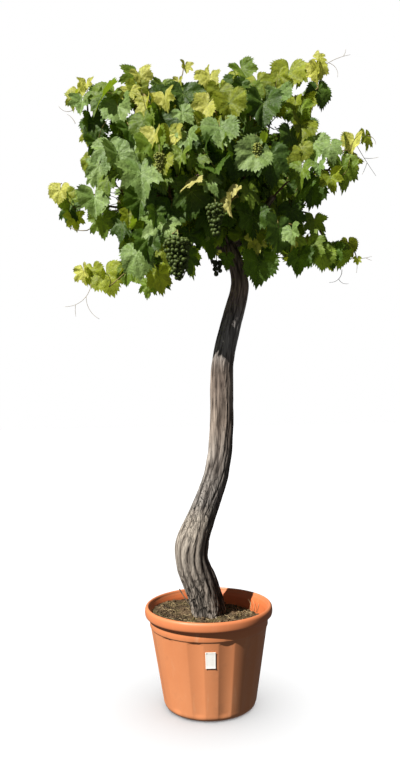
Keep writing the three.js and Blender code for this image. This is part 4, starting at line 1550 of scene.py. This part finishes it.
def young_tips(samples, vine, random):
    """Shoot tips with small curled leaves that stand out of the crown."""
    spread = Spread(0.085)
    for name, count in TIPS.items():
        own = [s for s in samples if s[2] == name]
        rank = [s[0][2] * 1.2 + 0.5 * np.linalg.norm((s[0] - CROWN_CENTRE)[:2]) for s in own]
        chances = np.exp(8 * (np.array(rank) - max(rank)))
        made = 0
        for k in random.choice(len(own), min(60, len(own)), replace=False, p=chances / chances.sum()):
            point, out, _, _ = own[k]
            if made == count or not spread.take(point):
                continue
            made += 1
            young_tip(point, out, vine, random, 0.055 if name.startswith("spray") else 0.13)


def young_tip(point, out, vine, random, reach):
    way = unit(0.5 * out + 0.75 * UP + random.normal(size=3) * 0.25)
    if in_sky(point, out, way, 0.05)[0]:
        return
    root = point - way * reach - out * 0.03
    vine.grow(root, random)
    side = unit(np.cross(way, random.normal(size=3)))
    bend = (root + point) / 2 + side * 0.02
    spans = np.linspace(0, 1, 8)
    line = np.array([(1 - t) ** 2 * root + 2 * t * (1 - t) * bend + t**2 * point for t in spans])
    shoots.add(*tube(line, np.linspace(0.0019, 0.0008, 8), 5))
    sign = 1
    for step, length in ((7, 0.032), (6, 0.048), (5, 0.064), (3, 0.078), (2, 0.09)):
        length *= random.uniform(0.85, 1.2)
        sign = -sign
        start = line[step]
        aside = unit(sign * side + 0.6 * out + random.normal(size=3) * 0.35)
        end = start + (aside * 0.55 + UP * 0.25) * length * 0.7
        hang = unit(-UP + 0.5 * aside + random.normal(size=3) * 0.4)
        face = unit(0.7 * out + 0.5 * aside + 0.3 * SUNWARD + random.normal(size=3) * 0.4)
        across, along, _ = leaf_frame(face, hang)
        if in_sky(end, across, along, length)[0] or hides_shown(end, length, TAKEN, 1.2):
            continue
        kind = "leaf_young" if random.random() < 0.72 else "leaf_olive"
        end = add_leaf(kind, end, face, hang, length, random, True)
        grow_stalk(start, end, out, random, 0.0008)


# ---- Tendrils and grapes ----
TENDRILS = [
    # root in shares of the crown, heading and bend in degrees (0 is right, 90 is up), length in metres, and
    # its forks: how far along they start, how far they turn off, their own bend and length
    ((0.72, 0.02, 0.86), 30, -20, 0.100, [(0.75, 40, 30, 0.030), (0.10, -45, -85, 0.075)]),
    ((0.88, -0.03, 0.17), -62, 5, 0.145, [(0.45, 50, 25, 0.055), (0.55, -50, -10, 0.050)]),
    ((0.96, 0.0, 0.25), -10, -80, 0.050, []),
    ((0.83, 0.0, -0.75), -5, 20, 0.085, [(0.70, -40, 10, 0.025), (0.25, -80, -25, 0.055)]),
    ((0.775, -0.02, -0.84), -88, -95, 0.080, [(0.50, 75, 75, 0.045)]),
    ((-0.75, -0.10, -0.93), -100, -80, 0.145, [(0.75, 65, 15, 0.045), (0.35, 40, 60, 0.105)]),
    ((-0.83, -0.05, 0.52), -125, -115, 0.085, []),
    ((-0.84, -0.05, 0.38), 110, 40, 0.050, []),
]
TENDRIL_STEPS = 14
# Radius of a berry, places tried in a bunch, and the skin's dark and light shade.
BERRIES = {
    "unripe": (0.0076, 2600, ((56, 70, 28), (82, 96, 42))),
    "small": (0.0038, 900, ((104, 112, 44), (146, 150, 70))),
    "dark": (0.0088, 260, ((30, 36, 24), (58, 66, 40))),
}
BERRY_GAP = 1.72  # least distance between the middles of two berries, in radii
BUNCHES = [
    # top of the bunch in shares of the crown, length, width, kind
    ((-0.21, -0.555, -0.70), 0.145, 0.105, "unripe"),
    ((0.00, -0.57, -0.46), 0.110, 0.068, "unripe"),
    ((0.006, -0.25, -0.80), 0.055, 0.048, "dark"),
    ((-0.30, -0.62, -0.10), 0.070, 0.040, "small"),
    ((0.234, -0.56, -0.02), 0.075, 0.042, "small"),
    ((-0.30, 0.85, -0.30), 0.12, 0.075, "unripe"),
    ((0.30, 0.80, -0.35), 0.11, 0.07, "unripe"),
]


def bent_line(root, heading, bend, length):
    """A line in the plane of the front that turns evenly by its bend, and its heading at each point."""
    headings = heading + bend * np.linspace(0, 1, TENDRIL_STEPS)
    ways = np.radians(headings)
    strides = np.stack([np.cos(ways), np.zeros(TENDRIL_STEPS), np.sin(ways)], axis=1) * length / TENDRIL_STEPS
    return root + np.vstack([np.zeros(3), np.cumsum(strides, axis=0)]), np.append(headings, headings[-1])


def build_tendrils():
    heap = Heap()
    for root, heading, bend, length, forks in TENDRILS:
        line, headings = bent_line(in_crown(root), heading, bend, length)
        heap.add(*tube(line, np.linspace(0.0013, 0.0006, len(line)), 5))
        for along, turn, fork_bend, fork_length in forks:
            place = round(along * TENDRIL_STEPS)
            fork, _ = bent_line(line[place], headings[place] + turn, fork_bend, fork_length)
            heap.add(*tube(fork, np.linspace(0.0010, 0.0006, len(fork)), 5))
    heap.points = [np.clip(points, ALLOWED[0] - 0.012, ALLOWED[1] + 0.012) for points in heap.points]
    heap.piece("tendrils", twig_shader("tendril", (120, 108, 84), (170, 156, 128)), "foliage")


def build_grapes(random, vine):
    groups = {kind: Heap() for kind in BERRIES}
    stems = Heap()
    points, faces = ball(2)
    for top, length, width, kind in BUNCHES:
        top = in_crown(top)
        foot = top - UP * length
        stems.add(*tube([top + UP * 0.03, top, (top + foot) / 2, foot], [0.0017, 0.0015, 0.0011, 0.0006], 5))
        vine.grow(top + UP * 0.03, random)
        size, tries, _ = BERRIES[kind]
        spread = Spread(size * BERRY_GAP)
        for _ in range(tries):
            t = random.random() ** 0.8
            reach = width / 2 * (1 - t) ** 0.55 * (0.35 + 0.65 * min(1, t * 5 + 0.35))
            off = random.normal(size=2)
            flat = unit(off) * reach * math.sqrt(random.random())
            centre = np.array([top[0] + flat[0], top[1] + flat[1], top[2] - length * t])
            if not spread.take(centre):
                continue
            groups[kind].add(centre + points * size * random.uniform(0.88, 1.08), faces)
            middle = np.array([top[0], top[1], centre[2] + 0.006])
            stems.add(*tube([middle, centre], [0.0007, 0.0005], 4))
    for kind, heap in groups.items():
        heap.piece("grapes_" + kind, berry_shader(kind, *BERRIES[kind][2]), "foliage")
    stems.piece("grape_stems", twig_shader("grape stem", (96, 104, 50), (140, 140, 76)), "foliage")


def berry_shader(kind, dark, light):
    shader = Shader("grape " + kind, 0.6, 0.2)
    tone = shader.noise(70, detail=2.0)
    bloom = shader.grey(shader.noise(260, detail=4.0), 0.45, 0.75, 0.0, 0.22)
    skin = shader.ramp(tone, (0.3, linear(*dark)), (0.7, linear(*light)))
    shader.colour(shader.mix(bloom, skin, linear(112, 122, 88)))
    shader.rough(shader.grey(bloom, 0.0, 0.3, 0.42, 0.65))
    return shader.material


# ---- Making it all ----
SEED = 8
SAMPLE_COUNT = 14000  # points spread over the crown's outside

casters.objects.link(build_pot())
build_soil()
build_label()
HEAD, bough_lines = build_wood()
chance = np.random.default_rng(SEED)
SAMPLES, TREES = outer_samples(SAMPLE_COUNT, chance)
vine = Vine(bough_lines, HEAD)
dress(crown_sites(SAMPLES, chance), vine, chance)
young_tips(SAMPLES, vine, chance)
build_tendrils()
build_grapes(chance, vine)
vine.draw()

for kind, (shades, through, share) in LEAF_KINDS.items():
    if heaps[kind].count:
        heaps[kind].piece(kind, leaf_shader(kind, shades, through, share), "foliage")
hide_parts(*MASSES)
pale_vein = leaf_shader("pale vein", ((120, 146, 82), (150, 174, 106)), (170, 190, 90), 0.2)
green_vein = leaf_shader("green vein", ((84, 110, 42), (118, 140, 64)), (150, 180, 60), 0.3)
pale_veins.piece("pale_veins", pale_vein, "foliage")
green_veins.piece("green_veins", green_vein, "foliage")
stalks.piece("leaf_stalks", twig_shader("stalk", (120, 112, 62), (158, 128, 84)), "foliage")
shoots.piece("shoots", twig_shader("shoot", (86, 88, 42), (140, 118, 66)), "foliage")
canes.piece("canes", twig_shader("cane", (58, 40, 28), (128, 92, 62)), "bark")
